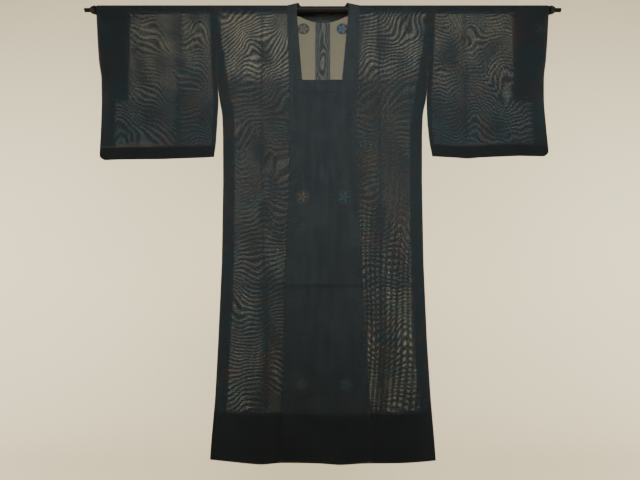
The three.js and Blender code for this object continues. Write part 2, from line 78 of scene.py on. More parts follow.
class Face(IntEnum):
    """The front or the back of the coat, with the sign of its Y."""

    FRONT = -1
    BACK = 1


class Dye(Enum):
    """The colours of the woven roundels, as linear RGB."""

    RUST = (0.150, 0.085, 0.058)
    SAND = (0.125, 0.112, 0.085)
    MOSS = (0.060, 0.112, 0.080)
    TEAL = (0.030, 0.115, 0.150)
    PURPLE = (0.108, 0.098, 0.140)


@dataclass(frozen=True)
class Table:
    """A short table whose first column is the place and whose others are read between its rows."""

    columns: tuple[str, ...]
    rows: tuple[tuple[float, ...], ...]
    soften: float = 10.0

    def read(self, column: str, at: Array | float) -> Array:
        """Reads a column, with its corners eased over the softening distance.

        Args:
            column: The column's name.
            at: Where to read, in the first column's unit.

        Returns:
            The column's values there.
        """
        keys = [row[0] for row in self.rows]
        values = [row[self.columns.index(column)] for row in self.rows]
        at = np.asarray(at, dtype=float)
        near = np.interp(at - self.soften, keys, values) + np.interp(at + self.soften, keys, values)
        return 0.5 * np.interp(at, keys, values) + 0.25 * near

    def of(self, half: Half, at: Array | float) -> Array:
        """Reads the column of one half of the coat."""
        return self.read(half.name.lower(), at)


def halves(*rows: Point) -> Table:
    """Makes a table of drops with a right and a left column."""
    return Table(("drop", "right", "left"), rows)


def edge_line(*rows: Span) -> Table:
    """Makes a table of a lower edge's drop at x."""
    return Table(("x", "drop"), rows)


def by_side(table: Table, x: Array, drop: Array) -> Array:
    """Reads the column of the half that each x lies on."""
    return np.where(x < 0, table.of(Half.RIGHT, drop), table.of(Half.LEFT, drop))


def ramp(value: Array | float, start: float, end: float) -> Array:
    """Returns 0 before the start, 1 after the end, and an even climb between."""
    return np.clip((np.asarray(value, dtype=float) - start) / (end - start), 0.0, 1.0)


def ease(value: Array | float, start: float, end: float) -> Array:
    """Returns the same climb as ramp, with soft ends."""
    t = ramp(value, start, end)
    return t * t * (3 - 2 * t)


def lerp(a: Array | float, b: Array | float, share: Array | float) -> Array:
    """Returns the value a share of the way from a to b."""
    return a + (b - a) * share


BODY_SIDE = halves(
    (0, 319.6, 318.3), (112, 313.5, 312), (232, 305.7, 303.8), (282, 298, 297.6),
    (322, 289.5, 288), (380, 285.6, 284), (523, 281, 279.6), (750, 278.3, 277.1),
    (962, 281.9, 279.9), (1116, 285.9, 285.3), (1216, 292.1, 290.9), (1270, 294.4, 293.5),
)
BODY_CREASE = halves((0, 178, 163), (523, 171, 161), (987, 151, 157), (1270, 150, 156))
FRONT_SEAM = halves(
    (0, 104.9, 108.8), (226, 96.3, 98.4), (287, 95.2, 96), (522, 93.1, 92), (801, 104.2, 107),
    (1140, 107.3, 122), (1285, 109, 124),
)
NECK_EDGE = halves((0, 76.5, 76), (24, 75.5, 74.8), (226, 59.2, 55.3))
HEM = edge_line(
    (-294, 1267), (-212, 1272), (-161, 1276), (-110, 1272.5), (-7, 1274), (45, 1277),
    (96, 1274), (199, 1273.7), (294, 1269),
)
SLEEVE_INNER = halves(
    (0, 319.6, 318.3), (112, 313.5, 312), (232, 305.7, 303.8), (282, 300.8, 299.6),
    (348, 302.7, 300), (408, 304.3, 304), (452, 308.9, 311.5),
)
SLEEVE_FOLD = halves((0, 418, 414), (452, 412, 409))
SLEEVE_OUTER = halves(
    (0, 667, 666.3), (42, 663, 661.5), (105, 656.5, 655), (167, 650, 648), (212, 641, 640.3),
    (290, 637, 637.7), (378, 634.6, 640), (452, 633.5, 642),
)
SLEEVE_BOTTOM = edge_line(
    (-619, 460.5), (-568, 458.7), (-456, 457.5), (-344, 453.3), (-309, 451.3), (312, 449.3),
    (387, 453.8), (409, 456.4), (443, 452.8), (556, 447.8), (626, 449.5),
)
FACING_EDGE = halves((0, 574.5, 567.6), (290, 562.5, 552.8))

PLY = 0.4  # one layer of gauze
DOUBLED = 0.9  # the doubled cloth of the bands
TURN_STEP = 0.75  # from the middle of a panel's cloth to that of its turning
SEAM_DEPTH = 0.26  # from the rod's plane to cloth that is sewn to the other side
SHOULDER_RADIUS = 13.1  # of the cloth's middle over the rod
OVER_LIFT = 2.1  # of the band on top, out from the one underneath
OVER_INSET = 2.0  # of the top band's free edge, from the right front seam
UNDER_INSET = 8.0  # of the free edge underneath, from the left front seam
HEM_TURNING = 125.0
NECK_EASE = 8.0  # how far the neck seam draws in, from the front to the back
NECK_DROP = 17.0  # the back neck seam's lowest point
ROD_ANGLES = tuple(np.linspace(90, -90, 15)[1:-1])

BODY_DEPTH = Table(
    ("drop", "middle", "side"),
    (
        (0, SHOULDER_RADIUS, SHOULDER_RADIUS),
        (112, 12.8, 10.5),
        (232, 12.2, 5),
        (322, 11.8, SEAM_DEPTH),
        (700, 11, SEAM_DEPTH),
        (1100, 10.4, SEAM_DEPTH),
        (1146, 10.4, SEAM_DEPTH + TURN_STEP),
        (1285, 10.4, SEAM_DEPTH + TURN_STEP),
    ),
)
SLEEVE_DEPTH = Table(
    ("drop", "middle", "inner", "outer"),
    (
        (0, SHOULDER_RADIUS, SHOULDER_RADIUS, SHOULDER_RADIUS),
        (112, 12, 10.5, 11),
        (232, 9.6, 5, 5),
        (286, 8.2, 4.2, SEAM_DEPTH + TURN_STEP),
        (322, 7, 3.6, SEAM_DEPTH),
        (392, 4.4, 2.6, SEAM_DEPTH),
        (418, 3.4, 2.3, SEAM_DEPTH + TURN_STEP),
        (462, 1.6, 1.6, SEAM_DEPTH + TURN_STEP),
    ),
)


@dataclass(frozen=True)
class Ripple:
    """A smooth uneven field: a few waves of mixed length and heading, from a fixed seed."""

    seed: int
    wave: float
    count: int = 7
    stretch: float = 1.0
    lengths: Span = (0.6, 1.7)

    def at(self, x: Array, drop: Array) -> Array:
        """Returns the field there, mostly between -1 and 1.

        Args:
            x: Across the coat.
            drop: Down the coat.

        Returns:
            The field's values.
        """
        rng = np.random.default_rng(self.seed)
        total = np.zeros(np.broadcast(x, drop).shape)
        for _ in range(self.count):
            heading = rng.uniform(0, math.pi)
            length = self.wave * rng.uniform(*self.lengths)
            shift = rng.uniform(0, 2 * math.pi)
            way = x * math.cos(heading) + drop * math.sin(heading) / self.stretch
            total += np.sin(2 * math.pi * way / length + shift)
        return total / math.sqrt(self.count)


@dataclass(frozen=True)
class Crease:
    """A fold line left by storage: a narrow ridge with soft sides."""

    rise: float
    reach: float
    sharp_rise: float = 0.5
    sharp_reach: float = 7.0

    def at(self, distance: Array) -> Array:
        """Returns how far the cloth stands out at a distance from the line."""
        wide = self.rise * (1 - ramp(np.abs(distance), 0, self.reach))
        return wide + self.sharp_rise * (1 - ramp(np.abs(distance), 0, self.sharp_reach))


@dataclass(frozen=True)
class Fold:
    """A soft fold: a ridge, or a trough where the rise is negative."""

    x: float
    drop: float
    end_x: float
    end_drop: float
    width: float
    rise: float
    starts: Span = (-0.1, 0.25)
    ends: Span = (0.7, 1.1)

    def at(self, x: Array, drop: Array) -> Array:
        """Returns how far the cloth stands out there.

        Args:
            x: Across the coat.
            drop: Down the coat.

        Returns:
            The rise.
        """
        run, fall = self.end_x - self.x, self.end_drop - self.drop
        length = math.hypot(run, fall)
        along = ((x - self.x) * run + (drop - self.drop) * fall) / length
        aside = ((x - self.x) * fall - (drop - self.drop) * run) / length
        begun, ended = (ease(along, a * length, b * length) for a, b in (self.starts, self.ends))
        return self.rise * (begun * (1 - ended)) * np.exp(-((aside / self.width) ** 2))


FOLDS = {
    Face.FRONT: (
        Fold(-250, 60, -120, 250, 13, 0.9),
        Fold(262, 50, 140, 270, 15, 0.8),
        Fold(-215, 330, -228, 760, 11, 0.7),
        Fold(-132, 300, -138, 700, 9, -0.6),
        Fold(-40, 300, -52, 1180, 16, 0.7),
        Fold(8, 420, -4, 1240, 13, -0.8),
        Fold(52, 330, 66, 900, 14, 0.7),
        Fold(206, 420, 222, 1000, 12, 0.7),
        Fold(130, 850, 146, 1230, 11, -0.6),
        Fold(-196, 850, -214, 1240, 15, 0.9),
        Fold(-575, 40, -345, 190, 10, 1.0),
        Fold(-500, 150, -560, 430, 14, 0.8),
        Fold(-372, 120, -380, 430, 10, -0.7),
        Fold(560, 60, 440, 270, 13, 0.9),
        Fold(372, 40, 392, 380, 12, -0.7),
        Fold(520, 240, 560, 430, 10, 0.8),
    ),
    Face.BACK: (
        Fold(-235, 70, -90, 330, 14, 0.8),
        Fold(240, 60, 105, 300, 13, 0.9),
        Fold(-95, 420, -110, 1190, 14, 0.8),
        Fold(88, 360, 112, 1060, 16, 0.7),
        Fold(-215, 520, -232, 1220, 11, -0.6),
        Fold(218, 620, 236, 1230, 12, 0.8),
        Fold(-550, 50, -360, 230, 12, 0.9),
        Fold(-510, 210, -560, 430, 13, 0.7),
        Fold(570, 40, 400, 240, 12, 0.9),
        Fold(380, 180, 398, 430, 11, -0.7),
    ),
}


def fold_rise(x: Array, drop: Array, face: Face) -> Array:
    """Returns the rise of all listed folds of one face."""
    return sum(fold.at(x, drop) for fold in FOLDS[face])


@dataclass
class CoatForm:
    """The shape of the hanging coat: where a point of the flat cloth lies in space.

    A calm is the width beside a seam or an edge over which the loose cloth comes to rest.
    """

    hem_wave: float = 2.2
    wave_length: float = 230.0
    front_phase: float = 0.4
    back_phase: float = 2.1
    wave_top: float = 300.0
    wave_bottom: float = 1270.0
    wave_calm: float = 80.0
    body_rounding: float = 110.0
    sleeve_rounding: float = 70.0
    cross_fold: float = 812.0
    crease: Crease = Crease(rise=1.6, reach=40.0)
    cross_crease: Crease = Crease(rise=0.6, reach=30.0, sharp_rise=1.8, sharp_reach=7.0)
    slack: Ripple = Ripple(seed=11, wave=190.0, stretch=2.2)
    slack_rise: float = 0.55
    slack_drops: Span = (20.0, 200.0)
    slack_calm: float = 60.0
    fold_drops: Span = (14.0, 60.0)
    fold_calm: float = 40.0
    face_shift: float = 900.0
    sleeve_top_calm: float = 120.0
    sleeve_bottom_calm: float = 35.0
    sleeve_slack_calm: float = 40.0
    sleeve_fold_calm: float = 30.0

    def hem(self, x: Array | float) -> Array:
        """Returns the hem's drop at x."""
        return HEM.read("drop", x)

    def sleeve_bottom(self, x: Array | float) -> Array:
        """Returns the drop of a sleeve's bottom at x."""
        return SLEEVE_BOTTOM.read("drop", x)

    def body_depth(self, x: Array, drop: Array, face: Face) -> Array:
        """Returns how far the body's cloth hangs from the rod's middle plane.

        Args:
            x: Across the coat, signed.
            drop: Down from the rod's axis.
            face: The front or the back.

        Returns:
            The distance from the plane to the middle of the cloth.
        """
        x, drop = np.broadcast_arrays(np.asarray(x, float), np.asarray(drop, float))
        middle = BODY_DEPTH.read("middle", drop)
        edge = BODY_DEPTH.read("side", drop)
        inside = by_side(BODY_SIDE, x, drop) - np.abs(x)
        phase = self.front_phase if face is Face.FRONT else self.back_phase
        free = ramp(drop, self.wave_top, self.wave_bottom) * ramp(inside, 0, self.wave_calm)
        wave = self.hem_wave * free * np.sin(2 * math.pi * x / self.wave_length + phase)
        from_crease = np.abs(x) - by_side(BODY_CREASE, x, drop)
        ridge = self.crease.at(from_crease) * ramp(drop, 0, self.wave_top)
        calm = ramp(inside, 0, self.slack_calm)
        ridge = ridge + self.cross_crease.at(drop - self.cross_fold) * calm
        loose = ramp(drop, *self.slack_drops) * calm * self.slack_rise
        slack = loose * self.slack.at(x + face * self.face_shift, drop)
        rounded = (1 - ramp(inside, 0, self.body_rounding)) ** 2
        folds = fold_rise(x, drop, face) * ramp(inside, 0, self.fold_calm)
        folds = folds * ramp(drop, *self.fold_drops)
        return middle - (middle - edge) * rounded + wave + ridge + slack + folds

    def sleeve_depth(self, x: Array, drop: Array, face: Face) -> Array:
        """Returns how far a sleeve's cloth hangs from the rod's middle plane.

        Args:
            x: Across the coat, signed.
            drop: Down from the rod's axis.
            face: The front or the back.

        Returns:
            The distance from the plane to the middle of the cloth.
        """
        x, drop = np.broadcast_arrays(np.asarray(x, float), np.asarray(drop, float))
        middle = SLEEVE_DEPTH.read("middle", drop)
        from_inner = np.abs(x) - by_side(SLEEVE_INNER, x, drop)
        from_outer = by_side(SLEEVE_OUTER, x, drop) - np.abs(x)
        above = self.sleeve_bottom(x) - drop
        free = ramp(drop, 0, self.sleeve_top_calm) * ramp(above, 0, self.sleeve_bottom_calm)
        ridge = self.crease.at(np.abs(x) - by_side(SLEEVE_FOLD, x, drop)) * free
        loose, folds = free, fold_rise(x, drop, face)
        for inside in (from_outer, from_inner):
            loose = loose * ramp(inside, 0, self.sleeve_slack_calm)
            folds = folds * ramp(inside, 0, self.sleeve_fold_calm)
        slack = loose * self.slack_rise * self.slack.at(x + face * self.face_shift, drop)
        depth = middle
        for column, inside in (("inner", from_inner), ("outer", from_outer)):
            rounded = (1 - ramp(inside, 0, self.sleeve_rounding)) ** 2
            depth = depth - (middle - SLEEVE_DEPTH.read(column, drop)) * rounded
        return depth + ridge + slack + folds * free


@dataclass
class Strip:
    """One row of cloth points, from the panel's inner edge to its outer one."""

    points: Array
    flat: Array


Depth = Callable[[Array, Array, Face], Array]
DropOf = Callable[[Array], Array]
Place = Callable[[Array, DropOf, float], Strip]
Row = Callable[[Array], Strip]
Pair = tuple[Array, Array]
Edges = Callable[[float], Pair]


def level(drop: float) -> DropOf:
    """Returns a level line: the same drop at any x."""
    return lambda x: drop + 0 * x


def row_of(place: Place, drop_of: DropOf, lift: float) -> Row:
    """Returns a row of a panel, which waits for its columns."""
    return lambda u: place(u, drop_of, lift)


def hang(depth: Depth, face: Face, x: Array, drop: Array, lift: float) -> Strip:
    """Places cloth that hangs below the rod.

    Args:
        depth: The depth function of the panel.
        face: The front or the back.
        x: Across the coat, signed.
        drop: Down from the rod's axis.
        lift: How far the cloth lies outside its panel.

    Returns:
        The row, with flat places measured along the cloth from the ridge over the rod.
    """
    drop = np.broadcast_to(np.asarray(drop, float), x.shape)
    y = face * (depth(x, drop, face) + lift)
    run = face * (drop + SHOULDER_RADIUS * math.pi / 2)
    return Strip(np.stack([x, y, -drop], axis=-1), np.stack([x, run], axis=-1))


def bend(x: Array, angle: float, lift: float) -> Strip:
    """Places cloth that bends over the rod, at degrees from the top towards the front."""
    turn = math.radians(angle)
    radius = np.full_like(x, SHOULDER_RADIUS + lift)
    points = np.stack([x, -radius * math.sin(turn), radius * math.cos(turn)], axis=-1)
    return Strip(points, np.stack([x, np.full_like(x, -SHOULDER_RADIUS * turn)], axis=-1))


def add_object(name: str, data: bpy.types.ID) -> Piece:
    """Links a new object with this data into the scene, at the origin."""
    thing = bpy.data.objects.new(name, data)
    bpy.context.scene.collection.objects.link(thing)
    return thing


@dataclass
class ClothMesh:
    """Walls of cloth gathered into one mesh, with the flat cloth as its UV map."""

    name: str
    vertices: list[Array] = field(default_factory=list)
    faces: list[Array] = field(default_factory=list)
    flats: list[Array] = field(default_factory=list)
    count: int = 0
    sharp_angle: float = 50.0

    def add_wall(self, rows: Sequence[Strip], thickness: float) -> None:
        """Adds a closed wall of even thickness about the rows' points.

        Args:
            rows: The rows of the cloth's middle surface.
            thickness: The wall's thickness.
        """
        grid = np.stack([row.points for row in rows])
        flat = np.stack([row.flat for row in rows])
        normal = np.cross(np.gradient(grid, axis=1), np.gradient(grid, axis=0))
        normal /= np.linalg.norm(normal, axis=-1, keepdims=True)
        high, wide = grid.shape[:2]
        outer = np.arange(high * wide).reshape(high, wide) + self.count
        inner = outer + high * wide
        quads = [
            np.stack([outer[:-1, :-1], outer[:-1, 1:], outer[1:, 1:], outer[1:, :-1]], axis=-1),
            np.stack([inner[:-1, :-1], inner[1:, :-1], inner[1:, 1:], inner[:-1, 1:]], axis=-1),
        ]
        rim = np.concatenate([outer[0], outer[1:, -1], outer[-1, -2::-1], outer[-2::-1, -1 * wide]])
        below = rim + high * wide
        quads.append(np.stack([rim[1:], rim[:-1], below[:-1], below[1:]], axis=-1))
        self.vertices.append((grid + normal * thickness / 2).reshape(-1, 3))
        self.vertices.append((grid - normal * thickness / 2).reshape(-1, 3))
        self.flats.extend([flat.reshape(-1, 2)] * 2)
        self.faces.extend(quad.reshape(-1, 4) for quad in quads)
        self.count += 2 * high * wide

    def build(self, material: Material) -> Piece:
        """Makes the Blender object, in metres, at the origin.

        Args:
            material: The finish of the whole mesh.

        Returns:
            The object, linked into the scene.
        """
        vertices = np.concatenate(self.vertices) * MM
        faces = np.concatenate(self.faces)
        flats = np.concatenate(self.flats) * MM
        mesh = bpy.data.meshes.new(self.name)
        mesh.from_pydata(vertices.tolist(), [], faces.tolist())
        layer = mesh.uv_layers.new(name="flat_cloth")
        layer.data.foreach_set("uv", flats[faces.reshape(-1)].astype(np.float32).reshape(-1))
        mesh.validate()
        mesh.shade_smooth()
        mesh.set_sharp_from_angle(angle=math.radians(self.sharp_angle))
        mesh.materials.append(material)
        return add_object(self.name, mesh)


def dress(piece: Piece, material: Material) -> None:
    """Gives a piece one material in place of any that it has."""
    piece.data.materials.clear()
    piece.data.materials.append(material)


def store(piece: Piece, name: str, values: Array) -> None:
    """Stores one number for each vertex of a piece, for its material to read."""
    attribute = piece.data.attributes.new(name, "FLOAT", "POINT")
    attribute.data.foreach_set("value", np.ascontiguousarray(values, dtype=np.float32))


def coordinates(piece: Piece) -> Array:
    """Returns a piece's vertices in millimetres."""
    flat = np.empty(len(piece.data.vertices) * 3, dtype=np.float32)
    piece.data.vertices.foreach_get("co", flat)
    return flat.reshape(-1, 3).astype(float) / MM


@dataclass(frozen=True)
class Eye:
    """A slack spot of the cloth, which the light contours ring."""

    x: float
    drop: float
    wide: float
    high: float
    rings: float


@dataclass(frozen=True)
class Moire:
    """The beat between the threads of two sheer layers: light contours, broken up by a second set.

    Its phases count contours. They climb evenly down or across, and wander with the drape. Below
    the drop narrows_at, the contours' spacing comes down to low_spacing.
    """

    seed: int
    middle: float
    spacing: float
    tilt_top: float
    tilt_low: float
    cross_spacing: float
    cross_lean: float
    wander: float
    wave: float
    fold_pull: float = 0.7
    narrows_at: float = 700.0
    low_spacing: float = 12.5
    tilt_drops: Span = (200.0, 800.0)
    fine_wave: float = 0.42
    fine_wander: float = 0.25
    cross_wave: float = 1.2
    cross_wander: float = 0.35
    stretches: Point = (1.5, 1.3, 1.8)
    eyes: tuple[Eye, ...] = ()

    def phases(self, x: Array, drop: Array) -> Pair:
        """Returns the phases of the contours and of the set across them.

        Args:
            x: Across the coat.
            drop: Down the coat.

        Returns:
            The two phases, in contours.
        """
        waves = (self.wave, self.wave * self.fine_wave, self.wave * self.cross_wave)
        broad, fine, other = (
            Ripple(self.seed + step, wave, stretch=stretch).at(x, drop)
            for step, (wave, stretch) in enumerate(zip(waves, self.stretches))
        )
        folds = fold_rise(x, drop, Face.FRONT)
        tilt = lerp(self.tilt_top, self.tilt_low, ease(drop, *self.tilt_drops))
        narrowing = 1 / self.low_spacing - 1 / self.spacing
        straight = (drop + (x - self.middle) * tilt) / self.spacing
        straight = straight + np.maximum(drop - self.narrows_at, 0) * narrowing
        drift = self.wander * (broad + self.fine_wander * fine)
        contour = straight + drift + self.fold_pull * folds
        for eye in self.eyes:
            away = ((x - eye.x) / eye.wide) ** 2 + ((drop - eye.drop) / eye.high) ** 2
            contour = contour + eye.rings * np.exp(-away)
        across = (x + drop * self.cross_lean) / self.cross_spacing
        return contour, across + self.cross_wander * self.wander * other


BODY_MOIRE = {
    Half.RIGHT: Moire(
        seed=3,
        middle=-180,
        spacing=15.5,
        tilt_top=0.5,
        tilt_low=0.1,
        cross_spacing=16,
        cross_lean=0.15,
        wander=1.4,
        wave=150,
        eyes=(
            Eye(-110, 50, 65, 60, 3),
            Eye(-235, 45, 45, 45, -3),
            Eye(-215, 372, 44, 60, 1.6),
            Eye(-205, 520, 46, 110, -3.4),
            Eye(-192, 838, 40, 60, -1.8),
            Eye(-194, 1090, 46, 105, 4),
        ),
    ),
    Half.LEFT: Moire(
        seed=8,
        middle=180,
        spacing=15.5,
        tilt_top=0.6,
        tilt_low=0.08,
        cross_spacing=13.5,
        cross_lean=0.06,
        wander=1.3,
        wave=150,
        eyes=(
            Eye(275, 25, 70, 60, 4),
            Eye(120, 120, 50, 70, 2.5),
            Eye(208, 560, 42, 100, 3.5),
            Eye(150, 380, 40, 70, -2),
            Eye(225, 930, 50, 120, 2),
        ),
    ),
}
SLEEVE_MOIRE = {
    Half.RIGHT: Moire(
        seed=21,
        middle=-470,
        spacing=14,
        tilt_top=-0.6,
        tilt_low=1.0,
        cross_spacing=11,
        cross_lean=0.4,
        wander=1.35,
        wave=130,
        fold_pull=0.35,
        eyes=(
            Eye(-468, 105, 60, 60, -2.2),
            Eye(-590, 350, 45, 50, 2),
            Eye(-360, 70, 40, 40, 2.2),
            Eye(-505, 330, 50, 70, 2.2),
        ),
    ),
    Half.LEFT: Moire(
        seed=27,
        middle=470,
        spacing=13,
        tilt_top=0.2,
        tilt_low=-1.0,
        cross_spacing=11,
        cross_lean=-0.4,
        wander=1.35,
        wave=130,
        fold_pull=0.35,
        eyes=(
            Eye(505, 185, 60, 60, 3),
            Eye(525, 305, 34, 42, -2.5),
            Eye(430, 60, 40, 40, 3),
            Eye(440, 330, 50, 70, 3),
        ),
    ),
}


def layers(*rows: tuple[float, ...]) -> Table:
    """Makes a table of what a panel's two layers let through, by drop, with the strength of the
    contours' painted glow.
    """
    return Table(("drop", "dull", "bright", "gleam", "cross"), rows, soften=2)


# Below the shoulders these tables let little through: partly the two layers lying close, partly a
# painted shade that stands in for the coat's shadow on a near wall, which the far backdrop doesn't
# get.
BODY_LAYERS = {
    Half.RIGHT: layers(
        (12, 0.10, 0.10, 0.0, 0.2),
        (15, 0.17, 0.56, 1.15, 0.3),
        (190, 0.13, 0.46, 1.05, 0.3),
        (235, 0.05, 0.10, 0.22, 0.3),
        (500, 0.05, 0.10, 0.22, 0.3),
        (640, 0.04, 0.10, 0.28, 0.3),
        (790, 0.02, 0.11, 0.33, 0.2),
        (812, 0.01, 0.06, 0.20, 0.2),
        (830, 0.02, 0.15, 0.46, 0.3),
        (1144, 0.02, 0.15, 0.46, 0.3),
        (1148, 0.10, 0.12, 0.0, 0.0),
    ),
    Half.LEFT: layers(
        (12, 0.10, 0.10, 0.0, 0.35),
        (15, 0.09, 0.28, 0.78, 0.4),
        (190, 0.07, 0.23, 0.68, 0.4),
        (235, 0.05, 0.09, 0.19, 0.4),
        (500, 0.05, 0.09, 0.20, 0.4),
        (640, 0.04, 0.10, 0.28, 0.6),
        (790, 0.03, 0.16, 0.54, 0.8),
        (812, 0.01, 0.10, 0.36, 0.85),
        (830, 0.06, 0.27, 0.86, 0.85),
        (1144, 0.06, 0.27, 0.86, 0.85),
        (1148, 0.10, 0.12, 0.0, 0.0),
    ),
}
SLEEVE_LAYERS = layers(
    (12, 0.10, 0.10, 0.0, 0.35),
    (15, 0.12, 0.30, 0.72, 0.45),
    (150, 0.10, 0.21, 0.62, 0.45),
    (300, 0.015, 0.06, 0.42, 0.45),
    (412, 0.004, 0.03, 0.38, 0.45),
    (418, 0.10, 0.12, 0.0, 0.0),
)


class Net:
    """Adds and joins the nodes of one node tree."""

    def __init__(self, tree: Tree) -> None:
        """Wraps a node tree."""
        self.tree = tree

    def node(self, kind: str, **settings: object) -> Node:
        """Adds a node and sets its properties."""
        node = self.tree.nodes.new(kind)
        for key, value in settings.items():
            setattr(node, key, value)
        return node

    def feed(self, socket: Socket, value: object) -> None:
        """Joins another socket to this one, or sets this one's value."""
        if isinstance(value, Socket):
            self.tree.links.new(value, socket)
        else:
            socket.default_value = value

    def fed(self, kind: str, values: Sequence[object], **settings: object) -> Node:
        """Adds a node, sets its properties and feeds its first inputs in their order."""
        node = self.node(kind, **settings)
        for socket, value in zip(node.inputs, values):
            self.feed(socket, value)
        return node

    def math(self, operation: str, *values: object) -> Socket:
        """Adds a math node and returns its result's socket."""
        return self.fed("ShaderNodeMath", values, operation=operation).outputs[0]

    def vector(self, operation: str, *values: object) -> Socket:
        """Adds a vector math node and returns its vector's socket."""
        return self.fed("ShaderNodeVectorMath", values, operation=operation).outputs[0]

    def remap(self, value: object, low: float, high: float, *ends: float) -> Socket:
        """Maps a range to another, 0 to 1 unless its ends are given, with soft ends."""
        values = (value, low, high, *(ends or (0.0, 1.0)))
        smooth = {"interpolation_type": "SMOOTHSTEP"}
        return self.fed("ShaderNodeMapRange", values, **smooth).outputs[0]

    def band(self, value: Socket, middle: float, full: float, none: float) -> Socket:
        """Returns 1 near a middle value and 0 away from it, given the two distances."""
        away = self.math("ABSOLUTE", self.math("SUBTRACT", value, middle))
        return self.remap(away, full, none, 1.0, 0.0)

    def wave(self, turns: Socket) -> Socket:
        """Returns a wave between 0 and 1 from a number of turns."""
        angle = self.math("MULTIPLY", turns, 2 * math.pi)
        return self.math("MULTIPLY_ADD", self.math("COSINE", angle), 0.5, 0.5)

    def blend(self, share: object, a: object, b: object) -> Socket:
        """Mixes two colours and returns the result's socket."""
        node = self.node("ShaderNodeMix", data_type="RGBA")
        for index, value in ((0, share), (6, a), (7, b)):
            self.feed(node.inputs[index], value)
        return node.outputs[2]

    def noise(self, vector: Socket, scale: float, detail: float, rough: float = 0.55) -> Socket:
        """Adds a noise texture and returns its value's socket."""
        node = self.fed("ShaderNodeTexNoise", (vector,))
        for key, value in (("Scale", scale), ("Detail", detail), ("Roughness", rough)):
            node.inputs[key].default_value = value
        return node.outputs[0]

    def stretched(self, vector: Socket, scale: Point) -> Socket:
        """Scales a vector by axis and returns the result's socket."""
        node = self.fed("ShaderNodeMapping", (vector,))
        node.inputs["Scale"].default_value = scale
        return node.outputs[0]

    def split(self, vector: Socket) -> Sequence[Socket]:
        """Returns the sockets of a vector's three parts."""
        return self.fed("ShaderNodeSeparateXYZ", (vector,)).outputs

    def joined(self, *parts: Socket) -> Socket:
        """Returns the socket of the vector with these parts."""
        return self.fed("ShaderNodeCombineXYZ", parts).outputs[0]

    def attribute(self, name: str) -> Socket:
        """Returns the socket of a number that is stored on the piece."""
        return self.node("ShaderNodeAttribute", attribute_name=name).outputs["Fac"]

    def position(self) -> Socket:
        """Returns the socket of the place on the piece."""
        return self.node("ShaderNodeTexCoord").outputs["Object"]

    def bump(self, height: Socket, strength: float, distance: float) -> Socket:
        """Adds a relief and returns its normal's socket."""
        node = self.node("ShaderNodeBump")
        node.inputs["Strength"].default_value = strength
        node.inputs["Distance"].default_value = distance
        self.feed(node.inputs["Height"], height)
        return node.outputs[0]


@dataclass
class Group:
    """A shader node group with named inputs and outputs, to be placed in materials."""

    name: str
    inputs: dict[str, float | Point]
    outputs: tuple[str, ...]

    def __post_init__(self) -> None:
        """Makes the empty group."""
        self.tree = bpy.data.node_groups.new(self.name, "ShaderNodeTree")
        for key, default in self.inputs.items():
            kind = "NodeSocketVector" if isinstance(default, tuple) else "NodeSocketFloat"
            socket = self.tree.interface.new_socket(key, in_out="INPUT", socket_type=kind)
            socket.default_value = default
        for key in self.outputs:
            self.tree.interface.new_socket(key, in_out="OUTPUT", socket_type="NodeSocketFloat")
        self.net = Net(self.tree)
        self.given = self.net.node("NodeGroupInput").outputs
        self.out = self.net.node("NodeGroupOutput").inputs

    def put_out(self, *values: Socket) -> "Group":
        """Joins the outputs, in their order, and returns the group."""
        for key, value in zip(self.outputs, values):
            self.net.feed(self.out[key], value)
        return self

    def place(self, net: Net, **values: object) -> Node:
        """Places the group in a material.

        Args:
            net: The material's net.
            values: The group's inputs, with underscores for spaces.

        Returns:
            The group node.
        """
        node = net.node("ShaderNodeGroup")
        node.node_tree = self.tree
        for key, value in values.items():
            net.feed(node.inputs[key.replace("_", " ")], value)
        return node


LAYER_INPUTS = ("Contour Phase", "Cross Phase", "Cross", "Dull", "Bright", "Gleam")


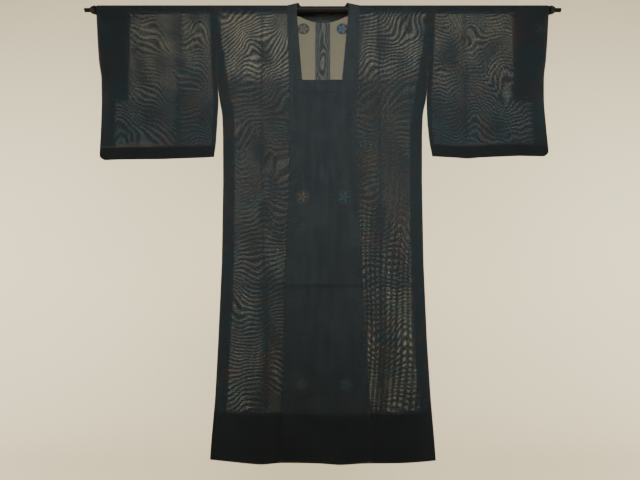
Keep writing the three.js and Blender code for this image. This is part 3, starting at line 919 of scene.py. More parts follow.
@dataclass(frozen=True)
class Roundels:
    """The woven flowers: their repeat over the coat in metres, and their figure in radii."""

    first: Span = (-0.057, -0.065)
    repeat: Span = (0.116, 0.505)
    radius: float = 0.019
    petals: int = 5
    petal_reach: Span = (0.2, 0.62)
    petal_edge: float = 0.12
    ring: float = 0.92
    ring_blur: Span = (0.04, 0.1)
    ring_share: float = 0.6
    heart: float = 0.2
    heart_blur: Span = (0.02, 0.08)
    disc_edge: Span = (0.9, 1.05)
    kept_within: Span = (0.1, 0.13)
    kept_beyond: float = 0.15
    column_dyes: Span = (0.16, 0.45)
    chance: float = 0.2
    mottle: Span = (0.9, -0.4)
    mottle_scale: float = 70.0

    def build(self) -> Group:
        """Builds the group: the disc, its figure, and which dye shows."""
        inputs = {"Position": (0.0, 0.0, 0.0), "Radius": self.radius}
        group = Group("woven_roundels", inputs, ("Disc", "Figure", "Dye"))
        net, given = group.net, group.given
        x, _, z = net.split(given["Position"])
        local, cells = [], []
        for way, first, repeat in zip((x, z), self.first, self.repeat):
            turns = net.math("DIVIDE", net.math("SUBTRACT", way, first), repeat)
            cells.append(net.math("ROUND", turns))
            local.append(net.math("MULTIPLY", net.math("SUBTRACT", turns, cells[-1]), repeat))
        far = net.math("SQRT", net.math("ADD", *(net.math("MULTIPLY", way, way) for way in local)))
        share = net.math("DIVIDE", far, given["Radius"])
        angle = net.math("ARCTAN2", local[1], local[0])
        lobes = net.math("COSINE", net.math("MULTIPLY", angle, self.petals / 2))
        base, growth = self.petal_reach
        reach = net.math("MULTIPLY_ADD", net.math("ABSOLUTE", lobes), growth, base)
        petals = net.remap(net.math("SUBTRACT", reach, share), 0.0, self.petal_edge)
        ring = net.band(share, self.ring, *self.ring_blur)
        heart = net.math("SUBTRACT", 1.0, net.band(share, self.heart, *self.heart_blur))
        kept = net.remap(net.math("ABSOLUTE", x), *self.kept_within, 1.0, self.kept_beyond)
        disc = net.math("MULTIPLY", net.remap(share, *self.disc_edge, 1.0, 0.0), kept)
        ring = net.math("MULTIPLY", ring, self.ring_share)
        figure = net.math("MAXIMUM", net.math("MULTIPLY", petals, heart), ring)
        chance = net.node("ShaderNodeTexWhiteNoise", noise_dimensions="3D")
        net.feed(chance.inputs["Vector"], net.joined(*cells))
        low, step = self.column_dyes
        column = net.math("MULTIPLY_ADD", net.math("FLOORED_MODULO", cells[0], 2.0), step, low)
        chosen = net.math("MULTIPLY_ADD", chance.outputs["Value"], self.chance, column)
        speckle = net.noise(given["Position"], self.mottle_scale, 0.0)
        mottle = net.math("MULTIPLY_ADD", speckle, *self.mottle)
        return group.put_out(disc, figure, net.math("ADD", chosen, mottle))


@dataclass
class Effects:
    """The shader groups that more than one finish uses."""

    thread_pitch: float = 0.0009
    weft_share: float = 1.4
    contour_edges: Span = (0.15, 0.95)
    least_through: float = 0.004
    most_through: float = 0.9
    streak_scale: Point = (1.0, 0.2, 0.14)
    streak_noise: Point = (60.0, 4.0, 0.6)
    streak_edges: Span = (0.3, 0.7)
    cloud_noise: Span = (14.0, 1.0)
    cloud_edges: Span = (0.42, 0.7)
    blush_shift: Point = (3.7, 1.9, 5.3)
    blush_noise: Span = (17.0, 1.0)
    blush_edges: Span = (0.5, 0.72)

    def __post_init__(self) -> None:
        """Builds the groups once."""
        self.layering = self._layering()
        self.roundels = Roundels().build()
        self.weave = self._weave()
        self.drift = self._drift()

    def _layering(self) -> Group:
        """Builds the beat of two sheer layers: its light contours as a painted glow for the base
        colour, and the alpha they leave.
        """
        group = Group("gauze_layering", dict.fromkeys(LAYER_INPUTS, 0.0), ("Glow", "Alpha"))
        net, given = group.net, group.given
        swing, crossing = (net.wave(given[key]) for key in LAYER_INPUTS[:2])
        gap = net.math("MULTIPLY", net.math("SUBTRACT", 1.0, crossing), given["Cross"])
        both = net.math("MULTIPLY", swing, net.math("SUBTRACT", 1.0, gap))
        contour = net.remap(both, *self.contour_edges)
        span = net.math("SUBTRACT", given["Bright"], given["Dull"])
        through = net.math("MULTIPLY_ADD", contour, span, given["Dull"])
        through = net.math("MAXIMUM", through, self.least_through)
        root = net.math("SQRT", net.math("MINIMUM", through, self.most_through))
        glow = net.math("MULTIPLY", contour, given["Gleam"])
        return group.put_out(glow, net.math("SUBTRACT", 1.0, root))

    def _weave(self) -> Group:
        """Builds the gauze's threads on the flat cloth: crossed ribs with small gaps."""
        inputs = {"Flat": (0.0, 0.0, 0.0), "Pitch": self.thread_pitch}
        group = Group("gauze_weave", inputs, ("Height", "Gap"))
        net, given = group.net, group.given
        ribs = []
        for way, share in zip(net.split(given["Flat"]), (1.0, self.weft_share)):
            pitch = net.math("MULTIPLY", given["Pitch"], share)
            ribs.append(net.wave(net.math("DIVIDE", way, pitch)))
        height = net.math("MAXIMUM", *ribs)
        return group.put_out(height, net.math("SUBTRACT", 1.0, height))

    def _drift(self) -> Group:
        """Builds a slow unevenness of dye and lustre that runs down the cloth."""
        inputs = {"Position": (0.0, 0.0, 0.0), "Fineness": 1.0}
        group = Group("dye_drift", inputs, ("Tone", "Cloud", "Blush"))
        net, place = group.net, group.given["Position"]
        scaled = net.node("ShaderNodeVectorMath", operation="SCALE")
        net.feed(scaled.inputs[0], net.stretched(place, self.streak_scale))
        net.feed(scaled.inputs["Scale"], group.given["Fineness"])
        tone = net.remap(net.noise(scaled.outputs[0], *self.streak_noise), *self.streak_edges)
        cloud = net.remap(net.noise(place, *self.cloud_noise), *self.cloud_edges)
        moved = net.vector("ADD", place, self.blush_shift)
        blush = net.remap(net.noise(moved, *self.blush_noise), *self.blush_edges)
        return group.put_out(tone, cloud, blush)


Colour = tuple[float, float, float, float]


def colour(red: float, green: float, blue: float) -> Colour:
    """Returns an opaque linear colour."""
    return (red, green, blue, 1.0)


def darker(base: Colour, share: float) -> Colour:
    """Returns a colour at a share of its strength."""
    return colour(*(share * value for value in base[:3]))


def blank_material(name: str) -> tuple[Material, Net, Node]:
    """Makes a material with a Principled shader.

    Args:
        name: The material's name.

    Returns:
        The material, its net and its shader node.
    """
    material = bpy.data.materials.new(name)
    material.use_nodes = True
    net = Net(material.node_tree)
    return material, net, material.node_tree.nodes["Principled BSDF"]


FIGURE_COVER = 0.95
DISC_COVER = 0.05


def weave_flowers(net: Net, motif: Node, ground: Socket, strength: float) -> Socket:
    """Lays the roundels' dyes over a ground colour.

    Args:
        net: The material's net.
        motif: The placed roundel group.
        ground: The ground colour's socket.
        strength: How strongly the dyes show.

    Returns:
        The colour's socket.
    """
    node = net.node("ShaderNodeValToRGB")
    node.color_ramp.interpolation = "CONSTANT"
    stops = node.color_ramp.elements
    while len(stops) < len(Dye):
        stops.new(0.5)
    for index, (stop, dye) in enumerate(zip(stops, Dye)):
        stop.position = index / len(Dye)
        stop.color = (*dye.value, 1.0)
    net.feed(node.inputs[0], motif.outputs["Dye"])
    figure = net.math("MULTIPLY_ADD", motif.outputs["Figure"], FIGURE_COVER, DISC_COVER)
    share = net.math("MULTIPLY", net.math("MULTIPLY", motif.outputs["Disc"], figure), strength)
    return net.blend(share, ground, node.outputs[0])


@dataclass(frozen=True)
class ClothFinish:
    """The common way of a gauze finish: thread relief, and a soft uneven surface."""

    name: str = "gauze"
    roughness: float = 0.7
    gap_roughness: float = 0.15
    sheen: float = 0.03
    sheen_roughness: float = 0.45
    gloss: float = 0.08
    weave_bump: float = 0.15
    relief: float = 0.0001
    # painted_shade is a painted shade: a darker colour where less light falls, on the turned hems
    # (which are also doubled cloth), low on the front bands and in a line under their cross fold
    painted_shade: Colour = colour(0.011, 0.014, 0.016)

    def finish_surface(self, net: Net, shader: Node, effects: Effects) -> None:
        """Gives a cloth shader its roughness, its thread relief and its sheen.

        Args:
            net: The material's net.
            shader: The Principled shader.
            effects: The shared shader groups.
        """
        flat = net.node("ShaderNodeUVMap", uv_map="flat_cloth").outputs[0]
        weave = effects.weave.place(net, Flat=flat).outputs
        rough = net.math("MULTIPLY_ADD", weave["Gap"], self.gap_roughness, self.roughness)
        net.feed(shader.inputs["Roughness"], rough)
        relief = net.bump(weave["Height"], self.weave_bump, self.relief)
        net.feed(shader.inputs["Normal"], relief)
        shader.inputs["Sheen Weight"].default_value = self.sheen
        shader.inputs["Sheen Roughness"].default_value = self.sheen_roughness
        shader.inputs["Specular IOR Level"].default_value = self.gloss


@dataclass(frozen=True)
class GauzeFinish(ClothFinish):
    """Sheer blue-black silk gauze, where one or two layers hang."""

    name: str = "sheer_gauze"
    ground: Colour = colour(0.015, 0.020, 0.024)
    # light is the colour of a painted glow: the moiré's light contours, where light comes through
    # both layers
    light: Colour = colour(0.066, 0.084, 0.100)
    teal: Colour = colour(0.013, 0.023, 0.028)
    rust: Colour = colour(0.022, 0.021, 0.022)
    # back is a lighter, bluer copy of the gauze's colour for the back ply: painted light for the
    # cloth seen through the front
    back: Colour = colour(0.027, 0.037, 0.043)
    roughness: float = 0.72
    flowers: float = 0.8
    flower_alpha: float = 0.93
    back_rise: float = 0.013

    def build(self, effects: Effects) -> Material:
        """Builds the material, which reads the cloth's flat map and its layering.

        Args:
            effects: The shared shader groups.

        Returns:
            The material.
        """
        material, net, shader = blank_material(self.name)
        position = net.position()
        keys = (name.replace(" ", "_") for name in LAYER_INPUTS)
        read = {key: net.attribute(key.lower()) for key in keys}
        behind, painted_shade = net.attribute("behind"), net.attribute("painted_shade")
        layering = effects.layering.place(net, **read).outputs
        drift = effects.drift.place(net, Position=position).outputs
        lifted = net.vector("MULTIPLY_ADD", behind, (0.0, 0.0, -self.back_rise), position)
        motif = effects.roundels.place(net, Position=lifted)
        tinted = net.blend(drift["Cloud"], self.ground, self.teal)
        tinted = net.blend(drift["Blush"], tinted, self.rust)
        # The back ply gets painted light, a lighter colour; the turned hems get a painted shade.
        tinted = net.blend(painted_shade, net.blend(behind, tinted, self.back), self.painted_shade)
        # Painted light: the contours' glow is painted into the base colour.
        ground = net.blend(layering["Glow"], tinted, self.light)
        flowered = weave_flowers(net, motif, ground, self.flowers)
        net.feed(shader.inputs["Base Color"], flowered)
        cover = net.math("MULTIPLY", motif.outputs["Disc"], self.flower_alpha)
        net.feed(shader.inputs["Alpha"], net.math("MAXIMUM", layering["Alpha"], cover))
        self.finish_surface(net, shader, effects)
        return material


@dataclass(frozen=True)
class DoubledFinish(ClothFinish):
    """The same gauze folded double or turned in, so that little shows through it."""

    dark: Colour = colour(0.018, 0.024, 0.029)
    light: Colour = colour(0.023, 0.030, 0.035)
    alphas: Span = (0.72, 0.86)
    flowers: float = 0.0

    def build(self, effects: Effects) -> Material:
        """Builds the material.

        Args:
            effects: The shared shader groups.

        Returns:
            The material.
        """
        material, net, shader = blank_material(self.name)
        position = net.position()
        drift = effects.drift.place(net, Position=position).outputs
        ground = net.blend(drift["Tone"], self.dark, self.light)
        if self.flowers:
            motif = effects.roundels.place(net, Position=position)
            ground = weave_flowers(net, motif, ground, self.flowers)
        turned = net.blend(net.attribute("painted_shade"), ground, self.painted_shade)
        net.feed(shader.inputs["Base Color"], turned)
        net.feed(shader.inputs["Alpha"], net.remap(drift["Cloud"], 0.0, 1.0, *self.alphas))
        self.finish_surface(net, shader, effects)
        return material


@dataclass(frozen=True)
class EnamelFinish:
    """Black enamel on steel, with faint scuffs that run along the rod."""

    name: str
    base: Colour = colour(0.008, 0.008, 0.009)
    scuff: Colour = colour(0.018, 0.017, 0.016)
    roughness: float = 0.55
    rough_spread: float = 0.2
    gloss: float = 0.1
    along_rod: Point = (0.2, 1.0, 1.0)
    grain_noise: Point = (420.0, 5.0, 0.65)
    scuff_edges: Span = (0.52, 0.75)
    swell_noise: Span = (160.0, 2.0)
    unevenness: float = 0.12
    relief: float = 0.0002

    def build(self) -> Material:
        """Builds the material."""
        material, net, shader = blank_material(self.name)
        position = net.position()
        grain = net.noise(net.stretched(position, self.along_rod), *self.grain_noise)
        mask = net.remap(grain, *self.scuff_edges)
        net.feed(shader.inputs["Base Color"], net.blend(mask, self.base, self.scuff))
        rough = net.math("MULTIPLY_ADD", mask, self.rough_spread, self.roughness)
        net.feed(shader.inputs["Roughness"], rough)
        swell = net.noise(position, *self.swell_noise)
        net.feed(shader.inputs["Normal"], net.bump(swell, self.unevenness, self.relief))
        shader.inputs["Specular IOR Level"].default_value = self.gloss
        return material


@dataclass(frozen=True)
class ThreadFinish:
    """Dyed silk sewing thread."""

    name: str = "silk_thread"
    base: Colour = colour(0.018, 0.024, 0.028)
    shade: float = 0.62
    roughness: float = 0.55
    rough_spread: float = 0.15
    fineness: float = 9.0
    sheen: float = 0.2

    def build(self, effects: Effects) -> Material:
        """Builds the material.

        Args:
            effects: The shared shader groups.

        Returns:
            The material.
        """
        material, net, shader = blank_material(self.name)
        drift = effects.drift.place(net, Position=net.position(), Fineness=self.fineness)
        tone = drift.outputs["Tone"]
        dyed = net.blend(tone, darker(self.base, self.shade), self.base)
        net.feed(shader.inputs["Base Color"], dyed)
        rough = net.math("MULTIPLY_ADD", tone, self.rough_spread, self.roughness)
        net.feed(shader.inputs["Roughness"], rough)
        shader.inputs["Sheen Weight"].default_value = self.sheen
        return material


@dataclass
class Panel:
    """The common way of a cut length: rows of points, and turnings inside them."""

    form: CoatForm
    half: Half
    row_step: float = 6.0
    seam_gap: float = 0.15
    turning_columns: int = 4
    turned_margin: float = 2.0

    def fold_rows(self, place: Place, bottom: DropOf, turning: float, top: float) -> list[Row]:
        """Makes the rows from a level line down to a turned edge, round it and up inside.

        Args:
            place: Places a row of the panel from its columns, its drops and its lift.
            bottom: The edge's drop at x.
            turning: How far the turning reaches up inside.
            top: The level line's drop.

        Returns:
            The rows, in order.
        """
        radius = TURN_STEP / 2
        outer = radius + PLY / 2

        def crease_top(x: Array) -> Array:
            """Returns the drop where the cloth begins to bend."""
            return bottom(x) - outer

        steps = max(2, round((float(bottom(0.0)) - top) / self.row_step))
        rows = [
            row_of(place, lambda x, s=share: lerp(top, crease_top(x), s), 0.0)
            for share in np.linspace(0, 1, steps + 1)[1:]
        ]
        for angle in np.radians(np.arange(30, 181, 30)):
            dip, back = radius * math.sin(angle), radius * (1 - math.cos(angle))
            rows.append(row_of(place, lambda x, d=dip: crease_top(x) + d, -back))
        steps = max(2, round(turning / self.row_step))
        for rise in (turning - outer) * np.linspace(0, 1, steps + 1)[1:]:
            rows.append(row_of(place, lambda x, r=rise: crease_top(x) - r, -TURN_STEP))
        return rows

    def turning(self, depth: Depth, face: Face, edges: Edges, drops: Array) -> list[Strip]:
        """Makes an upright turning that lies inside the panel.

        Args:
            depth: The depth function of the panel.
            face: The front or the back.
            edges: The turning's edges as distances from the middle, at a drop.
            drops: The rows' drops.

        Returns:
            The rows.
        """
        rows = []
        for drop in drops:
            x = self.half * lerp(*edges(drop), np.linspace(0, 1, self.turning_columns + 1))
            rows.append(hang(depth, face, x, np.full_like(x, drop), -TURN_STEP))
        return rows


@dataclass
class BodyLength(Panel):
    """One half of the body: a length of cloth from the front hem over the shoulder to the back.

    Its turnings end just above the hem's, whose top is read at three distances from the middle:
    by the centre seam, on the open cloth and by the side.
    """

    side_turning: float = 33.0
    side_turning_top: float = 0.36
    side_turning_full: float = 300.0
    side_inset: float = 3.5
    centre_turning: float = 21.5
    centre_laps: Span = (-1.5, 1.9)
    centre_top: float = 24.0
    seam_turning: float = 9.0
    seam_lap: float = 1.2
    band_gap: float = 0.3
    turnings_top: float = 20.0
    turning_rows: int = 96
    hem_gap: float = 0.6
    columns: int = 18
    slants_to: float = 175.0
    slant_rows: int = 12
    level_at: float = 400.0
    levelling_rows: int = 27
    slant_bend: float = 1.15
    turnings_at: Point = (10.0, 200.0, 270.0)
    front_middle: float = 190.0
    back_middle: float = 150.0

    def reach(self, inner: Array | float, drop: Array, u: Array) -> Array:
        """Returns signed x: columns 0 to 1 reach to the storage crease, and 1 to 2 to the side."""
        crease = BODY_CREASE.of(self.half, drop)
        side = BODY_SIDE.of(self.half, drop) - self.seam_gap
        return self.half * np.where(u < 1, lerp(inner, crease, u), lerp(crease, side, u - 1))

    def front_edge(self, drop: Array | float) -> Array:
        """Returns the distance from the middle to the front's inner edge."""
        return FRONT_SEAM.of(self.half, drop) + self.band_gap

    def front(self, u: Array, drop_of: DropOf, lift: float) -> Strip:
        """Places a row of the front."""
        nominal = drop_of(np.full_like(u, self.half * self.front_middle))
        drop = drop_of(self.reach(self.front_edge(nominal), nominal, u))
        x = self.reach(self.front_edge(drop), drop, u)
        return hang(self.form.body_depth, Face.FRONT, x, drop, lift)

    def back(self, u: Array, drop_of: DropOf, lift: float) -> Strip:
        """Places a row of the back."""
        nominal = drop_of(np.full_like(u, self.half * self.back_middle))
        drop = drop_of(self.reach(self.seam_gap, nominal, u))
        x = self.reach(self.seam_gap, drop, u)
        return hang(self.form.body_depth, Face.BACK, x, drop, lift)

    def shoulder_seam(self, angle: float) -> float:
        """Returns the neck seam's distance from the middle, over the rod."""
        return float(self.front_edge(0.0)) - NECK_EASE * float(ramp(-angle, 0, 90))

    def over(self, angle: float) -> Row:
        """Makes a row over the rod."""
        return lambda u: bend(self.reach(self.shoulder_seam(angle), np.zeros_like(u), u), angle, 0.0)

    def slanted(self, side_drop: float, seam_x: float, seam_drop: float) -> Row:
        """Makes a back row that starts higher at the neck or centre seam than at the side."""

        def row(u: Array) -> Strip:
            """Places the row's columns."""
            drop = lerp(seam_drop, side_drop, u / 2)
            return hang(self.form.body_depth, Face.BACK, self.reach(seam_x, drop, u), drop, 0.0)

        return row

    def rows(self) -> list[Row]:
        """Returns all rows, from the front's hem turning to the back's."""
        drops = [*np.arange(0.0, self.level_at, self.row_step), self.level_at]
        front = [row_of(self.front, level(drop), 0.0) for drop in drops]
        free_front, free_back = (
            self.fold_rows(place, self.form.hem, HEM_TURNING, self.level_at)
            for place in (self.front, self.back)
        )
        back = []
        seam_x = self.shoulder_seam(-90)
        drops = np.linspace(0, self.slants_to, self.slant_rows + 1)
        for turn, drop in zip(np.radians(np.linspace(0, 90, self.slant_rows + 1)), drops):
            x = max(self.seam_gap, seam_x * math.cos(turn))
            back.append(self.slanted(float(drop), x, NECK_DROP * math.sin(turn)))
        for share in np.linspace(0, 1, self.levelling_rows + 1)[1:]:
            side_drop = lerp(self.slants_to, self.level_at, share)
            seam_drop = lerp(NECK_DROP, self.level_at, share**self.slant_bend)
            back.append(self.slanted(float(side_drop), self.seam_gap, float(seam_drop)))
        over = map(self.over, ROD_ANGLES)
        return [*reversed(front + free_front), *over, *back, *free_back]

    def bottom_turning_top(self, x: Array | float) -> Array:
        """Returns the drop where the hem's turning ends inside."""
        return self.form.hem(x) - HEM_TURNING

    def turning_top(self, x: float) -> float:
        """Returns the drop just above the hem's turning, at a distance from the middle."""
        return float(self.bottom_turning_top(self.half * x)) - self.hem_gap

    def side_width(self, drop: Array | float) -> Array:
        """Returns the width of the side seam's turning, which narrows towards the shoulder."""
        full = ease(drop, 0, self.side_turning_full)
        return self.side_turning * lerp(self.side_turning_top, 1.0, full)

    def is_turned(self, x: Array, drop: Array) -> Array:
        """Tells where a turning backs the front's cloth."""
        from_side = BODY_SIDE.of(self.half, drop) - np.abs(x)
        beside = from_side < self.side_width(drop) + self.turned_margin
        return beside | (drop > self.turning_top(self.turnings_at[1]))

    def side_edges(self, drop: float) -> Pair:
        """Returns the edges of the turning inside the side seam."""
        side = BODY_SIDE.of(self.half, drop)
        return side - self.side_width(drop), side - self.side_inset

    def front_edges(self, drop: float) -> Pair:
        """Returns the edges of the turning inside the front band's seam."""
        seam = FRONT_SEAM.of(self.half, drop)
        return seam - self.seam_turning, seam + self.seam_lap

    def centre_edges(self, drop: float) -> Pair:
        """Returns the edges of the turning inside the centre back seam, the same at any drop."""
        return self.centre_laps[self.half > 0], self.centre_turning

    def build(self, material: Material) -> Piece:
        """Builds the length with its turnings.

        Args:
            material: The gauze.

        Returns:
            The piece.
        """
        u = np.linspace(0, 2, 2 * self.columns + 1)
        cloth = ClothMesh(f"gauze_body_{self.half.name.lower()}")
        cloth.add_wall([row(u) for row in self.rows()], PLY)
        near, _, far = (self.turning_top(x) for x in self.turnings_at)
        down = np.linspace(self.turnings_top, far, self.turning_rows)
        centre = np.linspace(self.centre_top, near, self.turning_rows)
        for face, edges, drops in (
            (Face.FRONT, self.side_edges, down),
            (Face.BACK, self.side_edges, down),
            (Face.FRONT, self.front_edges, down),
            (Face.BACK, self.centre_edges, centre),
        ):
            cloth.add_wall(self.turning(self.form.body_depth, face, edges, drops), PLY)
        return cloth.build(material)


@dataclass
class Sleeve(Panel):
    """One sleeve: a length folded over the rod and sewn along the bottom."""

    bottom_turning: float = 35.0
    seam_turning: float = 12.0
    end_turning: float = 40.0
    turning_inset: float = 0.8
    corner: float = 17.0
    corner_x: float = 630.0
    middle: float = 480.0
    level_at: float = 320.0
    columns: int = 28
    end_columns: int = 10
    facing_end: float = 286.0
    facing_rows: int = 35
    facing_last: float = 1.985
    turnings_drops: Span = (14.0, 424.0)
    seam_step: float = 10.0
    end_step: float = 8.0
    end_gap: float = 4.0

    def outer(self, drop: Array) -> Array:
        """Returns the sleeve's end as a distance from the middle, rounded at its bottom corner."""
        bottom = float(self.form.sleeve_bottom(self.half * self.corner_x))
        past = np.clip(np.asarray(drop, float) - (bottom - self.corner), 0, self.corner)
        rounding = self.corner - np.sqrt(self.corner**2 - past**2)
        return SLEEVE_OUTER.of(self.half, drop) - rounding

    def reach(self, drop: Array, u: Array) -> Array:
        """Returns signed x: columns 0 to 1 reach to the facing's edge, and 1 to 2 to the end."""
        inner = SLEEVE_INNER.of(self.half, drop) + self.seam_gap
        middle = FACING_EDGE.of(self.half, drop)
        far = lerp(middle, self.outer(drop), u - 1)
        return self.half * np.where(u < 1, lerp(inner, middle, u), far)

    def place(self, face: Face) -> Place:
        """Returns the place function of the sleeve's front or back."""

        def put(u: Array, drop_of: DropOf, lift: float) -> Strip:
            """Places a row's columns."""
            drop = drop_of(self.reach(drop_of(np.full_like(u, self.half * self.middle)), u))
            return hang(self.form.sleeve_depth, face, self.reach(drop, u), drop, lift)

        return put

    def hanging(self, face: Face) -> list[Row]:
        """Returns the rows of one side, from the rod down and round the bottom turning."""
        put = self.place(face)
        drops = np.arange(0.0, self.level_at + 1, self.row_step)
        free = self.fold_rows(put, self.form.sleeve_bottom, self.bottom_turning, self.level_at)
        return [*(row_of(put, level(drop), 0.0) for drop in drops), *free]

    def over(self, u: Array, lift: float) -> list[Strip]:
        """Returns the placed rows over the rod."""
        x = self.reach(np.zeros_like(u), u)
        return [bend(x, angle, lift) for angle in ROD_ANGLES]

    def build(self, material: Material) -> Piece:
        """Builds the sleeve with its turnings.

        Args:
            material: The gauze.

        Returns:
            The piece.
        """
        near = np.linspace(0, 1, self.columns + 1)
        u = np.concatenate([near, np.linspace(1, 2, self.end_columns + 1)[1:]])
        front, back = ([row(u) for row in self.hanging(face)] for face in Face)
        cloth = ClothMesh(f"gauze_sleeve_{self.half.name.lower()}")
        cloth.add_wall([*reversed(front), *self.over(u, 0.0), *back], PLY)
        first, last = self.turnings_drops
        depth = self.form.sleeve_depth
        for face in Face:
            drops = np.arange(first, last, self.seam_step)
            cloth.add_wall(self.turning(depth, face, self.seam_edges, drops), PLY)
            drops = np.arange(self.facing_end + self.end_gap, last, self.end_step)
            cloth.add_wall(self.turning(depth, face, self.end_edges, drops), PLY)
        return cloth.build(material)

    def seam_edges(self, drop: float) -> Pair:
        """Returns the edges of the turning inside the armhole seam."""
        edge = SLEEVE_INNER.of(self.half, drop) + self.turning_inset
        return edge, edge + self.seam_turning

    def end_edges(self, drop: float) -> Pair:
        """Returns the edges of the turning inside the sewn end."""
        edge = self.outer(drop) - self.turning_inset
        return edge - self.end_turning, edge

    def is_turned(self, x: Array, drop: Array) -> Array:
        """Tells where a turning or the facing backs the front's cloth."""
        from_inner = np.abs(x) - SLEEVE_INNER.of(self.half, drop)
        inner = from_inner < self.seam_turning + self.turned_margin
        facing = (drop < self.facing_end) & (np.abs(x) > FACING_EDGE.of(self.half, drop))
        end = self.outer(drop) - np.abs(x) < self.end_turning + self.turned_margin / 2
        bottom = drop > self.bottom_turning_top(x) - self.turned_margin / 2
        return inner | facing | (end & (drop > self.facing_end)) | bottom

    def bottom_turning_top(self, x: Array) -> Array:
        """Returns the drop where the bottom's turning ends inside."""
        return self.form.sleeve_bottom(x) - self.bottom_turning

    def build_facing(self, material: Material) -> Piece:
        """Builds the facing inside the sleeve's opening, front and back and over the rod.

        Args:
            material: The turned-in cloth.

        Returns:
            The piece.
        """
        u = np.linspace(1, self.facing_last, self.end_columns + 1)
        drops = np.linspace(0, self.facing_end, self.facing_rows + 1)
        front, back = (
            [self.place(face)(u, level(drop), -TURN_STEP) for drop in drops] for face in Face
        )
        cloth = ClothMesh(f"gauze_sleeve_facing_{self.half.name.lower()}")
        cloth.add_wall([*reversed(front), *self.over(u, -TURN_STEP), *back], PLY)
        return cloth.build(material)


@dataclass
class FrontBands:
    """The two doubled bands down the front: the wearer's left one closes over the right one."""

    form: CoatForm
    top: float = 263.3
    over_seam_lap: float = 2.0
    hem_gap: float = 0.6
    row_step: float = 5.0
    columns: int = 25
    turning_blur: float = 12.0
    crease_below: float = 6.0
    crease_width: float = 7.0
    crease_dark: float = 0.32
    low_dark: float = 0.3
    low_drops: Span = (880.0, 1140.0)

    def build(self, over: bool, material: Material) -> Piece:
        """Builds one band.

        Args:
            over: True for the band on top.
            material: The doubled cloth.

        Returns:
            The piece.
        """
        hem = float(self.form.hem(0.0))
        count = round((hem - self.top) / self.row_step)
        rows = []
        for step in np.linspace(0, 1, count + 1):
            nominal = lerp(self.top, hem, step)
            start = -FRONT_SEAM.of(Half.RIGHT, nominal) + (OVER_INSET if over else 0.0)
            end = FRONT_SEAM.of(Half.LEFT, nominal)
            end = end + (self.over_seam_lap if over else -UNDER_INSET)
            x = lerp(start, end, np.linspace(0, 1, self.columns + 1))
            drop = lerp(self.top, self.form.hem(x) - self.hem_gap, step)
            lift = OVER_LIFT if over else 0.0
            rows.append(hang(self.form.body_depth, Face.FRONT, x, drop, lift))
        cloth = ClothMesh("gauze_front_band_over" if over else "gauze_front_band_under")
        cloth.add_wall(rows, DOUBLED)
        piece = cloth.build(material)
        places = coordinates(piece)
        store(piece, "painted_shade", self.darkness(places[:, 0], -places[:, 2]))
        return piece

    def darkness(self, x: Array, drop: Array) -> Array:
        """Returns the band's painted shade: at its turned hem, darker low down, and a dark line
        under the cross fold.
        """
        above = self.form.hem(x) - drop
        turned = ease(above, HEM_TURNING + self.turning_blur, HEM_TURNING - self.turning_blur)
        from_crease = (drop - self.form.cross_fold - self.crease_below) / self.crease_width
        low = self.low_dark * ease(drop, *self.low_drops)
        crease = self.crease_dark * np.exp(-(from_crease**2))
        return np.clip(np.maximum(turned, low) + crease, 0, 1)


